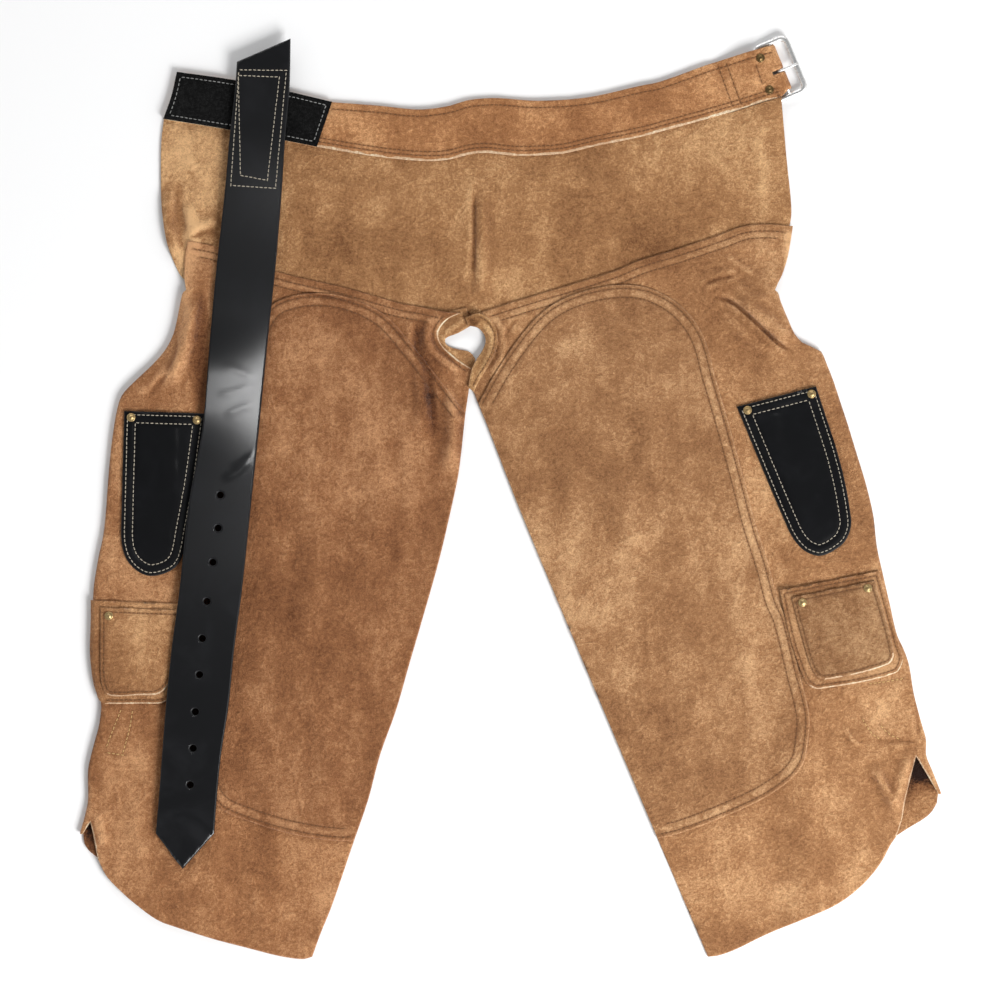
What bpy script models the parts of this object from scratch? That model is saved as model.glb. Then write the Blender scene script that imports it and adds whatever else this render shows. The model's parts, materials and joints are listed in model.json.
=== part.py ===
"""Split-leg suede apron for a farrier, laid flat on a floor with its front up.

All suede pieces come from one flat cutting plan, which is triangulated once. Pieces that lie
on each other share their facets there, so they keep the same gap over every fold.
The plan's x runs to the apron's right side as seen, y runs up to the waist, and a folded edge
is cut on past its fold line. The tables are in millimetres.
"""

import math
from collections import namedtuple

import bmesh
import bpy
from mathutils import Matrix, Vector
from mathutils.bvhtree import BVHTree
from mathutils.geometry import delaunay_2d_cdt

MM = 0.001

# The plan's point under the middle of the whole apron
ORIGIN = Vector((0.0, 1.17, 0.0))

# Cloth and leather thicknesses
SUEDE = 1.8
BLACK_LEATHER = 2.0
STRAP_LEATHER = 3.0
TAPE = 1.5
GAP = 0.3

# Facets of the cutting plan
PITCH = 27.0
BROAD = 19.0
MIDDLE = 12.0
FINE = 7.0
LAP_SLOPE = 25.0

# The folded outer edge of a leg: inner radius, and the height of the front sheet over its flap
FOLD_INSIDE = 1.2
FOLD_CENTRE = SUEDE + FOLD_INSIDE
FOLD_BASE = FOLD_CENTRE + FOLD_INSIDE
FOLD_ARC = math.pi * (FOLD_INSIDE + SUEDE / 2)
FOLD_REACH = FOLD_INSIDE + SUEDE
FLAP_MARGIN = 6.0
FLAP_SLOPE = 36.0
TOP_SLOPE = 30.0
ARC_PARTS = 4
FOLD_END = 6.0

# The buckle, seen along its bar: `along` runs out from the bar, `across` runs down the bar
BAR_MIDDLE = Vector((244.2, 391.8))
BAR_ANGLE = math.radians(22.27)
BAR_HEIGHT = 4.0
BAR_RADIUS = 1.7
LOOP_INSIDE = BAR_HEIGHT - SUEDE
LOOP_ARC = math.pi * (LOOP_INSIDE + SUEDE / 2)
LOOP_HALF = 21.6
FRAME_LENGTH = 57.0
FRAME_WIDTH = 36.4
FRAME_WIRE = 2.1
FRAME_CORNER = 6.0
FRAME_SHIFT = 1.5
FRAME_TILT = math.radians(6.2)
PRONG_SHIFT = 3.0
PRONG_WIDTH = 4.0
PRONG_INSIDE = 2.0
PRONG_THICK = 1.4
PRONG_REACH = 17.4
PRONG_RISE = 0.45
PRONG_CURL = 40.0
SLOT_HALF = 3.2
SLOT_BACK = 7.6
RETURN_HALF = 18.0
RETURN_END = 56.0
RETURN_TAPER = 3.0
YOKE_NOTCH = 58.0
YOKE_LIFT = 6.0

RIVET_RADIUS = 4.0
RIVET_HEIGHT = 2.4
HOLE_RADIUS = 3.0
HOLE_SIDES = 8
STATION = 16.0
STRAP_SAMPLES = 4.0

ALONG = Vector((math.cos(BAR_ANGLE), math.sin(BAR_ANGLE)))
ACROSS = Vector((math.sin(BAR_ANGLE), -math.cos(BAR_ANGLE)))

# Height of the waistband's underside over the floor, by distance behind the buckle's bar
Knot = namedtuple("Knot", "back height")
BAND_FRONT = [Knot(0.0, 6.2), Knot(12.0, 6.95), Knot(22.0, 6.95), Knot(50.0, 2.1), Knot(58.0, 2.1)]
BAND_RETURN = [Knot(0.0, 0.0), Knot(12.5, 4.8), Knot(21.0, 4.8), Knot(50.0, 0.0), Knot(56.0, 0.0)]
YOKE_CORNER = [Knot(0.0, YOKE_LIFT), Knot(24.0, YOKE_LIFT), Knot(55.0, 0.0)]
YOKE_BELOW = [Knot(0.0, 1.0), Knot(34.0, 1.0), Knot(76.0, 0.0)]

# The folded outer edge of each leg, a row for each height: the edge seen, and the flap's depth
Edge = namedtuple("Edge", "y x flap")
LEFT_EDGE = [
    Edge(189.7, -298.0, 0.0), Edge(176.1, -300.8, 10.0), Edge(162.4, -303.5, 19.0),
    Edge(148.8, -307.1, 26.0), Edge(135.1, -314.4, 30.0), Edge(121.5, -326.2, 34.0),
    Edge(107.8, -340.8, 38.0), Edge(94.2, -353.5, 42.0), Edge(80.5, -358.1, 44.0),
    Edge(53.2, -362.6, 47.0), Edge(25.9, -365.4, 50.0), Edge(-28.7, -369.9, 55.0),
    Edge(-56.0, -375.4, 60.0), Edge(-83.3, -379.5, 66.0), Edge(-110.6, -379.9, 72.0),
    Edge(-137.9, -380.8, 78.0), Edge(-165.2, -378.1, 82.0), Edge(-186.1, -372.6, 86.0),
    Edge(-206.1, -374.5, 90.0), Edge(-219.8, -378.1, 93.0), Edge(-233.4, -381.7, 96.0),
    Edge(-247.1, -384.5, 99.0), Edge(-274.4, -384.5, 104.0), Edge(-288.0, -387.2, 106.0),
    Edge(-299.8, -390.5, 108.0), Edge(-305.3, -392.2, 108.0),
]
RIGHT_EDGE = [
    Edge(189.7, 243.4, 0.0), Edge(180.6, 245.2, 9.0), Edge(162.4, 252.5, 19.0),
    Edge(148.8, 258.9, 26.0), Edge(139.7, 268.9, 29.0), Edge(135.1, 281.6, 31.0),
    Edge(121.5, 288.0, 35.0), Edge(107.8, 293.5, 38.0), Edge(94.2, 298.0, 41.0),
    Edge(66.9, 307.1, 45.0), Edge(39.6, 315.3, 48.0), Edge(12.3, 323.5, 51.0),
    Edge(-15.0, 329.9, 54.0), Edge(-42.3, 333.1, 58.0), Edge(-69.6, 339.0, 63.0),
    Edge(-96.9, 345.3, 69.0), Edge(-124.2, 351.7, 75.0), Edge(-137.9, 358.1, 78.0),
    Edge(-151.5, 362.6, 81.0), Edge(-178.8, 367.2, 86.0), Edge(-206.1, 374.5, 92.0),
    Edge(-219.8, 378.1, 95.0), Edge(-233.4, 378.1, 98.0), Edge(-247.1, 383.6, 102.0),
    Edge(-260.7, 389.0, 106.0), Edge(-268.9, 392.2, 109.0),
]

# Raised folds: three points of the crest, its height and half its width
Fold = namedtuple("Fold", "x0 y0 x1 y1 x2 y2 height half")
FOLDS = {
    "yoke middle crease": Fold(-26.8, 283.5, -25.9, 226.1, -27.8, 178.0, 3.0, 10.0),
    "yoke left roll": Fold(-310.8, 285.0, -311.7, 250.0, -304.5, 215.2, 6.0, 10.0),
    "yoke left ridge": Fold(-293.5, 272.0, -290.5, 246.0, -288.5, 222.0, 4.0, 11.0),
    "left thigh ridge": Fold(-285.3, 190.0, -292.4, 148.8, -314.4, 96.9, 7.0, 14.0),
    "left inner ridge": Fold(-55.1, 103.3, -51.5, 62.3, -58.0, 18.7, 5.0, 11.0),
    "left second ridge": Fold(-84.2, 148.8, -78.7, 107.8, -82.4, 53.2, 3.0, 11.0),
    "right hip crease": Fold(204.3, 182.5, 231.6, 160.6, 258.0, 140.5, 4.0, 11.0),
    "right hip small crease": Fold(172.5, 193.4, 190.6, 199.7, 208.9, 206.1, 2.5, 10.0),
    "right knee fold": Fold(81.4, 25.9, 104.2, -15.0, 117.8, -56.0, 3.0, 20.0),
    "right hem crease": Fold(329.0, -239.8, 340.0, -260.7, 347.0, -283.0, 3.0, 10.0),
}

# Edges of the pieces: each stretch is smooth, and stretches meet in corners
BAND_LEFT_TOP = [(-162.4, 360.8), (-200.7, 369.9), (-252.5, 380.8), (-303.5, 388.1)]
BAND_LEFT_END = [(-303.5, 388.1), (-308.5, 366.0), (-315.8, 345.3)]
BAND_LEFT_LOWER = [(-315.8, 345.3), (-255.3, 335.3), (-203.4, 325.3), (-176.1, 319.9)]
BAND_LOWER = [
    (-176.1, 319.9), (-118.8, 310.8), (-81.0, 307.3), (-58.7, 308.0), (-28.2, 314.5), (6.5, 311.9),
    (46.9, 313.8), (77.4, 320.8), (117.8, 329.0), (139.5, 334.6), (188.8, 348.3), (198.2, 351.1),
]
BAND_UPPER = [
    (180.1, 395.2), (136.6, 379.6), (117.8, 375.6), (69.6, 365.1), (24.6, 362.1), (-13.2, 364.5),
    (-37.3, 362.8), (-58.0, 357.0), (-84.2, 354.1), (-118.8, 357.5), (-162.4, 360.8),
]
BAND_END_LOWER = [(198.2, 351.1), (246.9, 365.7)]
BAND_END_UPPER = [(236.0, 411.8), (214.9, 405.7), (180.1, 395.2)]
YOKE_END = [(198.4, 350.5), (245.9, 364.6)]
YOKE_RIGHT = [
    (245.9, 364.6), (249.8, 326.2), (252.5, 298.9), (255.3, 271.6), (255.5, 256.0), (251.5, 238.0),
]
YOKE_LOWER = [
    (251.5, 238.0), (233.9, 236.0), (212.0, 234.2), (190.6, 227.5), (147.0, 212.9), (117.8, 204.3),
    (96.0, 195.2), (62.3, 184.3), (16.8, 170.6), (-25.0, 161.5), (-58.7, 159.7), (-81.4, 161.5),
    (-100.6, 165.2), (-148.8, 178.8), (-213.4, 194.3), (-246.2, 203.4), (-278.0, 212.0),
    (-296.2, 198.8),
]
YOKE_LEFT = [
    (-296.2, 198.8), (-300.8, 203.4), (-308.0, 218.9), (-313.0, 234.3), (-316.6, 257.1),
    (-318.0, 271.6), (-318.5, 298.9), (-318.0, 326.2), (-315.8, 345.3),
]

LEFT_TOP = [
    (-293.5, 234.3), (-282.6, 232.5), (-266.2, 228.9), (-213.4, 207.0), (-148.8, 191.6),
    (-100.6, 177.9), (-81.4, 174.3), (-58.7, 169.7), (-45.0, 168.8),
]
LEFT_CROTCH = [
    (-45.0, 168.8), (-55.1, 164.3), (-62.3, 157.9), (-66.0, 149.7), (-63.2, 140.6), (-56.0, 133.3),
    (-46.0, 125.1), (-35.5, 118.0),
]
LEFT_GAP = [(-35.5, 118.0), (-37.5, 102.0), (-41.0, 78.0)]
LEFT_INNER = [
    (-41.0, 78.0), (-46.9, 25.9), (-52.3, -1.4), (-65.1, -56.0), (-80.5, -110.6), (-92.4, -151.5),
    (-104.2, -192.5), (-118.8, -233.4), (-129.7, -274.4), (-142.3, -311.0),
]
LEFT_INNER_LOW = [(-142.3, -311.0), (-162.4, -369.9), (-173.4, -397.2), (-180.6, -417.2)]
LEFT_HEM = [
    (-180.6, -417.2), (-188.8, -419.5), (-209.8, -416.8), (-233.4, -410.9), (-257.1, -404.5),
    (-281.6, -397.2), (-302.6, -390.4), (-320.8, -383.6), (-339.9, -369.9), (-355.4, -356.3),
    (-368.1, -342.6), (-375.4, -327.5),
]
LEFT_VENT = [(-375.4, -327.5), (-379.0, -308.9), (-382.2, -294.0)]
LEFT_FLAP = [
    (-388.0, -314.0), (-384.5, -319.9), (-376.3, -326.7), (-350.8, -344.4),
    (-314.4, -360.8), (-284.0, -366.0),
]
LEFT_SHOULDER = [(-296.8, 200.0), (-296.4, 220.0), (-293.5, 234.3)]

RIGHT_TOP = [
    (-26.5, 169.7), (16.8, 183.4), (62.3, 197.0), (96.0, 207.9), (117.8, 217.0), (147.0, 225.7),
    (190.6, 240.2), (212.0, 248.0), (233.9, 249.8), (257.0, 248.0),
]
RIGHT_SHOULDER = [(257.0, 248.0), (254.3, 230.7), (251.6, 217.0), (247.1, 203.4), (244.0, 197.5)]
RIGHT_FLAP = [
    (388.2, -277.0), (383.3, -285.3), (375.9, -291.7), (362.4, -299.8),
    (349.3, -308.3), (327.1, -321.7), (299.8, -336.2), (284.0, -341.0),
]
RIGHT_VENT = [(368.6, -234.3), (362.4, -258.9), (358.7, -274.9), (356.1, -290.7), (350.8, -307.1)]
RIGHT_HEM = [
    (350.8, -307.1), (345.3, -315.3), (338.1, -329.0), (328.1, -342.6), (314.4, -356.3),
    (295.3, -369.9), (264.4, -383.6), (232.5, -397.2), (204.3, -410.9), (188.8, -416.3),
    (179.7, -417.2),
]
RIGHT_INNER_LOW = [(179.7, -417.2), (133.8, -309.5)]
RIGHT_INNER = [(133.8, -309.5), (38.7, -83.3), (5.0, -1.4), (-21.4, 66.9), (-29.5, 86.5)]
RIGHT_GAP = [(-29.5, 86.5), (-34.5, 99.5)]
RIGHT_CROTCH = [(-34.5, 99.5), (-27.0, 113.0), (-19.0, 126.0), (-16.0, 139.7), (-18.5, 153.0), (-26.5, 169.7)]

RIGHT_PATCH_OUTER = [
    (-29.5, 86.5), (-12.6, 116.5), (10.0, 149.1), (29.6, 170.2), (50.5, 183.0), (77.8, 191.6),
    (102.0, 194.6), (126.0, 191.6), (150.3, 179.3), (167.0, 162.4), (177.5, 143.3), (186.6, 109.7),
    (197.0, 74.2), (211.6, 20.8), (223.4, -24.6), (234.9, -60.5), (243.4, -92.4), (250.7, -109.3),
    (262.5, -157.9), (271.5, -197.0), (270.1, -223.0), (266.4, -239.8), (255.3, -255.3),
    (229.2, -273.5), (192.1, -290.4), (155.0, -304.4), (133.8, -309.5),
]
LEFT_PATCH_OUTER = [
    (-142.3, -311.0), (-155.2, -311.7), (-182.5, -308.5), (-215.2, -301.2), (-250.7, -288.9),
    (-265.3, -280.7), (-275.0, -267.0), (-279.0, -242.5), (-280.0, -183.4), (-268.0, -92.4),
    (-256.0, 0.0), (-246.0, 70.0), (-237.0, 130.0), (-228.0, 162.0), (-213.4, 179.0),
    (-180.6, 187.0), (-146.1, 182.5), (-114.2, 167.0), (-88.0, 138.0), (-62.0, 105.0),
    (-41.0, 78.0),
]
LEFT_KNIFE_TOP = [(-351.1, 79.6), (-277.1, 77.4)]
LEFT_KNIFE_BOWL = [
    (-277.1, 77.4), (-285.3, 16.8), (-293.5, -28.7), (-298.9, -54.0), (-308.0, -65.1),
    (-326.4, -70.5), (-339.0, -66.0), (-349.0, -55.1), (-353.5, -40.0), (-353.7, -19.6),
    (-351.1, 79.6),
]
RIGHT_KNIFE_TOP = [(205.8, 83.6), (277.6, 102.0)]
RIGHT_KNIFE_BOWL = [
    (277.6, 102.0), (300.2, 30.7), (309.6, -18.7), (308.0, -31.0), (300.8, -42.3), (282.6, -52.1),
    (268.9, -48.7), (259.5, -40.0), (252.0, -27.0), (205.8, 83.6),
]
LEFT_POCKET_TOP = [(-379.5, -92.4), (-291.7, -96.0)]
LEFT_POCKET_BOWL = [
    (-291.7, -96.0), (-297.1, -147.0), (-304.4, -174.0), (-315.0, -185.2), (-334.0, -186.3),
    (-369.0, -186.6),
]
LEFT_FRONT_POCKET = [(-372.5, -98.7), (-298.5, -101.5)]
LEFT_FRONT_POCKET_BOWL = [
    (-298.5, -101.5), (-303.5, -146.0), (-310.0, -168.0), (-320.0, -177.5), (-338.0, -178.5),
    (-364.0, -179.0), (-370.5, -172.0), (-372.5, -160.0), (-372.5, -98.7),
]
RIGHT_POCKET_TOP = [(244.3, -83.3), (334.6, -66.0)]
RIGHT_POCKET_BOWL = [
    (334.6, -66.0), (353.2, -133.3), (356.6, -146.1), (349.3, -158.8), (280.4, -173.1),
    (271.5, -170.0), (265.0, -160.3), (254.3, -128.8), (244.3, -83.3),
]
RIGHT_FRONT_POCKET = [(254.8, -90.0), (330.6, -74.5)]
RIGHT_FRONT_POCKET_BOWL = [
    (330.6, -74.5), (348.0, -140.0), (342.9, -150.6), (285.5, -164.3), (275.0, -158.0),
    (266.0, -132.0), (254.8, -90.0),
]
LEFT_BINDING_HOLE = [
    (-36.5, 157.0), (-47.8, 150.6), (-58.7, 146.1), (-59.6, 142.4), (-56.9, 138.8), (-47.8, 136.0),
    (-36.9, 133.3), (-32.0, 127.0),
]
LEFT_BINDING_UNDER = [
    (-34.5, 111.0), (-50.0, 118.0), (-64.0, 129.0), (-73.5, 141.0), (-74.0, 153.0), (-66.0, 163.5),
    (-52.0, 171.0), (-40.0, 174.0),
]
RIGHT_BINDING_HOLE = [
    (-36.9, 102.4), (-34.8, 108.5), (-31.5, 117.0), (-28.7, 127.0), (-25.0, 135.1), (-22.8, 143.3),
    (-24.1, 149.0), (-29.5, 155.0), (-36.0, 156.5),
]
RIGHT_BINDING_OUTER = [
    (-37.5, 163.0), (-28.7, 168.5), (-20.5, 164.3), (-14.0, 156.0), (-11.5, 146.1), (-13.5, 134.0),
    (-19.5, 121.5), (-27.5, 108.7), (-33.5, 97.0),
]

# The belt strap, a row for each height: its left and right edge
Width = namedtuple("Width", "y left right")
STRAP = [
    Width(371.7, -250.2, -200.7), Width(325.3, -255.5, -204.7), Width(281.6, -259.4, -207.6),
    Width(207.9, -267.5, -213.8), Width(147.0, -273.0, -220.2), Width(63.2, -279.8, -228.5),
    Width(-1.4, -291.7, -235.2), Width(-85.1, -300.8, -243.9), Width(-137.0, -307.6, -250.7),
    Width(-186.1, -312.6, -255.6), Width(-234.3, -316.5, -262.9), Width(-267.1, -319.0, -266.2),
    Width(-304.0, -322.2, -269.0),
]
STRAP_TOP = [(-248.5, 396.6), (-199.7, 417.7)]
STRAP_TIP = (-297.8, -336.4)
STRAP_HOLES = [
    (-263.4, 3.2), (-265.4, -26.8), (-270.1, -57.8), (-275.3, -93.3), (-279.5, -126.9),
    (-282.1, -159.7), (-285.9, -193.4), (-288.0, -226.6), (-290.7, -259.8),
]
HOOK_TAPE = [(-246.3, 388.5), (-204.0, 388.5), (-213.0, 284.5), (-253.5, 286.0)]

# Leg straps inside the fold: outer and inner end, and half the width
Strap = namedtuple("Strap", "outer inner top bottom")
LEG_STRAPS = {
    "left_leg_strap": Strap(-366.0, -302.0, -190.0, -215.0),
    "right_leg_strap": Strap(364.0, 302.0, -185.0, -210.0),
}

RIVETS = {
    "waist_rivet_upper": (227.0, 400.1), "waist_rivet_lower": (235.2, 371.3),
    "left_knife_rivet_outer": (-344.6, 73.7), "left_knife_rivet_inner": (-285.0, 71.3),
    "right_knife_rivet_inner": (215.6, 80.3), "right_knife_rivet_outer": (273.5, 94.9),
    "left_pocket_rivet": (-364.6, -106.5),
    "right_pocket_rivet_inner": (265.0, -94.5), "right_pocket_rivet_outer": (324.4, -81.5),
}

Finish = namedtuple("Finish", "colour roughness metallic")
FINISHES = {
    "suede": Finish((0.45, 0.22, 0.095), 0.95, 0.0),
    "black_leather": Finish((0.012, 0.012, 0.014), 0.42, 0.0),
    "hook_and_loop": Finish((0.012, 0.012, 0.012), 0.95, 0.0),
    "brass": Finish((0.42, 0.3, 0.12), 0.4, 1.0),
    "silver": Finish((0.6, 0.6, 0.6), 0.25, 1.0),
}


def clear_scene():
    for item in list(bpy.data.objects):
        bpy.data.objects.remove(item, do_unlink=True)


def finish(name):
    """The Principled material of a finish, made on its first use."""
    if name in bpy.data.materials:
        return bpy.data.materials[name]
    made = bpy.data.materials.new(name)
    made.use_nodes = True
    shader = made.node_tree.nodes["Principled BSDF"]
    shader.inputs["Base Color"].default_value = (*FINISHES[name].colour, 1.0)
    shader.inputs["Roughness"].default_value = FINISHES[name].roughness
    shader.inputs["Metallic"].default_value = FINISHES[name].metallic
    return made


def solid(name, points, faces, material, matrix=None, parent=None):
    """A closed mesh object from points in millimetres."""
    mesh = bpy.data.meshes.new(name)
    mesh.from_pydata([Vector(point) * MM for point in points], [], faces)
    mesh.validate()
    mesh.materials.append(finish(material))
    made = bpy.data.objects.new(name, mesh)
    bpy.context.collection.objects.link(made)
    if matrix is not None:
        made.matrix_world = matrix
    if parent is not None:
        made.parent = parent
    return made


def reading(knots, place):
    """Straight interpolation in a table of knots."""
    if place <= knots[0].back:
        return knots[0].height
    for low, high in zip(knots, knots[1:]):
        if place <= high.back:
            share = (place - low.back) / (high.back - low.back)
            return low.height + share * (high.height - low.height)
    return knots[-1].height


def eased(share):
    share = min(max(share, 0.0), 1.0)
    return share * share * (3.0 - 2.0 * share)


def smooth_run(points, step):
    """Points about one step apart along a smooth curve through the given ones."""
    points = [Vector(point[:2]) for point in points]
    spans = [(b - a).length for a, b in zip(points, points[1:])]
    slopes = []
    for index, point in enumerate(points):
        before = max(index - 1, 0)
        after = min(index + 1, len(points) - 1)
        slopes.append((points[after] - points[before]) / sum(spans[before:after]))
    dense = [points[0]]
    for index, span in enumerate(spans):
        for part in range(1, 9):
            t = part / 8
            dense.append(
                points[index] * (2 * t ** 3 - 3 * t ** 2 + 1)
                + slopes[index] * span * (t ** 3 - 2 * t ** 2 + t)
                + points[index + 1] * (3 * t ** 2 - 2 * t ** 3)
                + slopes[index + 1] * span * (t ** 3 - t ** 2)
            )
    lengths = [0.0]
    for a, b in zip(dense, dense[1:]):
        lengths.append(lengths[-1] + (b - a).length)
    count = max(1, round(lengths[-1] / step))
    run = [dense[0]]
    at = 0
    for part in range(1, count):
        wanted = lengths[-1] * part / count
        while lengths[at + 1] < wanted:
            at += 1
        share = (wanted - lengths[at]) / (lengths[at + 1] - lengths[at])
        run.append(dense[at].lerp(dense[at + 1], share))
    run.append(dense[-1])
    return run


def outline(*stretches):
    """A closed loop from (points, step) stretches that follow each other."""
    loop = []
    for points, step in stretches:
        for point in smooth_run(points, step):
            if not loop or (point - loop[-1]).length > 0.01:
                loop.append(point)
    if (loop[0] - loop[-1]).length < 0.01:
        loop.pop()
    return loop


def inside(point, loop):
    """Whether a point lies inside a closed loop."""
    crossed = False
    x, y = point
    for a, b in zip(loop, loop[1:] + loop[:1]):
        if (a.y > y) != (b.y > y) and x < a.x + (y - a.y) / (b.y - a.y) * (b.x - a.x):
            crossed = not crossed
    return crossed


def distance(point, a, b):
    """Distance of a point from the straight stretch a to b, and where along it that is."""
    run = b - a
    share = min(max((point - a).dot(run) / max(run.length_squared, 1e-9), 0.0), 1.0)
    return (point - a - run * share).length, share


def covering(point, loop):
    """1 on a piece, falling to 0 at the lap slope's length outside it."""
    if inside(point, loop):
        return 1.0
    nearest = min(distance(point, a, b)[0] for a, b in zip(loop, loop[1:] + loop[:1]))
    return 1.0 if nearest < 0.05 else max(0.0, 1.0 - nearest / LAP_SLOPE)


def folds_at(point):
    """Height that the raised folds give the cloth at a point of the plan."""
    height = 0.0
    for fold in FOLDS.values():
        crest = fold_crest(fold)
        best = min(
            (distance(point, a, b)[0], index + distance(point, a, b)[1])
            for index, (a, b) in enumerate(zip(crest, crest[1:]))
        )
        along = best[1] / (len(crest) - 1)
        taper = eased(min(along, 1.0 - along) * 4.0)
        height = max(height, fold.height * taper * eased(1.0 - best[0] / fold.half))
    return height


def fold_crest(fold):
    """The crest of a fold through its three points."""
    return smooth_run([(fold.x0, fold.y0), (fold.x1, fold.y1), (fold.x2, fold.y2)], BROAD)


class Leg:
    """One leg's folded outer edge: `side` is -1 on the left and 1 on the right."""

    def __init__(self, side, rows):
        self.side = side
        self.rows = rows
        self.top = rows[0].y
        self.tip = rows[-1].y
        self.curve = smooth_run([(row.y, row.x) for row in rows], 2.0)

    def line(self, y):
        """Where the front sheet starts to turn under, at a height of the plan."""
        y = min(max(y, self.tip), self.top)
        for a, b in zip(self.curve, self.curve[1:]):
            if b.x <= y <= a.x:
                share = (a.x - y) / (a.x - b.x)
                return a.y + share * (b.y - a.y) - self.side * FOLD_REACH
        return self.rows[-1].x - self.side * FOLD_REACH

    def depth(self, y):
        """How far the flap reaches back under the sheet."""
        knots = [Knot(-row.y, row.flap) for row in self.rows]
        return reading(knots, -y)

    def lift(self, point):
        """Height of the front sheet over the floor, because its flap lies below."""
        back = self.side * (self.line(point.y) - point.x)
        flap = max(self.depth(point.y), 1.0)
        over = 1.0 - eased((back - flap - FLAP_MARGIN) / FLAP_SLOPE)
        fade = 1.0 - eased((point.y - self.top) / TOP_SLOPE)
        return FOLD_BASE * over * fade

    def cut(self, y, depth):
        """Plan point of a flap point that lies a depth behind the fold line."""
        return Vector((self.line(y) + self.side * (FOLD_ARC + depth), y))

    def fold_line(self, part):
        """Plan line that lies a share of the way round the fold."""
        start = self.top - FOLD_END * part
        count = round((self.top - self.tip) / BROAD)
        levels = [self.top + (self.tip - self.top) * index / count for index in range(count + 1)]
        levels = [start] + [y for y in levels if y < start - FOLD_END]
        return [Vector((self.line(y) + self.side * FOLD_ARC * part, y)) for y in levels]

    def place(self, point, height, base):
        """Lay a plan point: flat on top, round the fold, and back underneath."""
        beyond = self.side * (point.x - self.line(point.y))
        if beyond <= 0.0 or point.y > self.top:
            return Vector((point.x, point.y, base(point) + height))
        hinge = Vector((self.line(point.y), point.y))
        middle = base(hinge) - FOLD_INSIDE
        radius = FOLD_INSIDE + height
        if beyond < FOLD_ARC:
            turn = math.pi * beyond / FOLD_ARC
            out = hinge.x + self.side * math.sin(turn) * radius
            return Vector((out, point.y, middle + math.cos(turn) * radius))
        return Vector((hinge.x - self.side * (beyond - FOLD_ARC), point.y, middle - radius))


LEFT = Leg(-1, LEFT_EDGE)
RIGHT = Leg(1, RIGHT_EDGE)


def flap_loop(leg, hem):
    """The flap's cut: its hem inwards from the tip, and its inner edge up to the fold's top."""
    cut = []
    for point in smooth_run(hem, BROAD):
        cut.append(leg.cut(point.y, leg.side * (leg.line(point.y) - point.x)))
    rows = [row for row in leg.rows if hem[-1][1] + BROAD < row.y < leg.top - FOLD_END]
    inner = [(hem[-1][0], hem[-1][1])]
    for row in reversed(rows):
        inner.append((leg.line(row.y) - leg.side * row.flap, row.y))
    for point in smooth_run(inner, BROAD)[1:]:
        cut.append(leg.cut(point.y, leg.side * (leg.line(point.y) - point.x)))
    return cut + [leg.fold_line(part / ARC_PARTS)[0] for part in range(ARC_PARTS, -1, -1)]


def bar_place(point):
    """A plan point as seen from the buckle's bar: distance behind it, and place down it."""
    offset = point - BAR_MIDDLE
    return -offset.dot(ALONG), offset.dot(ACROSS)


def bar_point(back, down):
    """The plan point at a distance behind the bar, and at a place down it."""
    return BAR_MIDDLE - ALONG * back + ACROSS * down


def band_line(back):
    """A line across the waistband, from one edge to the other."""
    loop = PIECES["waistband"].loop
    ends = []
    for a, b in zip(loop, loop[1:] + loop[:1]):
        near, far = bar_place(a)[0] - back, bar_place(b)[0] - back
        if near * far < 0.0:
            ends.append(a.lerp(b, near / (near - far)))
    ends.sort(key=lambda end: bar_place(end)[1])
    return [ends[0], ends[-1]]


def place_band(point, height, base):
    """Lay the waistband: on the yoke, over the buckle's bar, and back underneath."""
    back, down = bar_place(point)
    if back >= YOKE_NOTCH:
        return Vector((point.x, point.y, base(point) + height))
    if back >= 0.0:
        return Vector((point.x, point.y, reading(BAND_FRONT, back) + height))
    radius = LOOP_INSIDE + height
    if -back < LOOP_ARC:
        turn = math.pi * -back / LOOP_ARC
        at = bar_point(-math.sin(turn) * radius, down)
        return Vector((at.x, at.y, BAR_HEIGHT + math.cos(turn) * radius))
    under = -back - LOOP_ARC
    at = bar_point(under, down)
    return Vector((at.x, at.y, reading(BAND_RETURN, under) + SUEDE - height))


def place_flat(point, height, base):
    return Vector((point.x, point.y, base(point) + height))


def yoke_lift(point):
    """The yoke's corner lies over the rear half of the buckle."""
    back, down = bar_place(point)
    return reading(YOKE_CORNER, back) * reading(YOKE_BELOW, down)


Piece = namedtuple("Piece", "loop under thickness material place rise holes")
PIECES = {}


def add_piece(name, loop, under, place=place_flat, rise=None, thickness=SUEDE, material="suede", holes=()):
    PIECES[name] = Piece(loop, under, thickness, material, place, rise, holes)


def band_turn():
    """The waistband's cut round the bar and back to its end, as stretches of an outline."""
    cut = [(0.0, LOOP_HALF), (-LOOP_ARC, LOOP_HALF), (-LOOP_ARC - RETURN_TAPER, RETURN_HALF),
           (-LOOP_ARC - RETURN_END, RETURN_HALF)]
    cut = [bar_point(back, down) for back, down in cut + [(back, -down) for back, down in cut[::-1]]]
    return [((a, b), BROAD) for a, b in zip(cut, cut[1:])]


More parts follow.
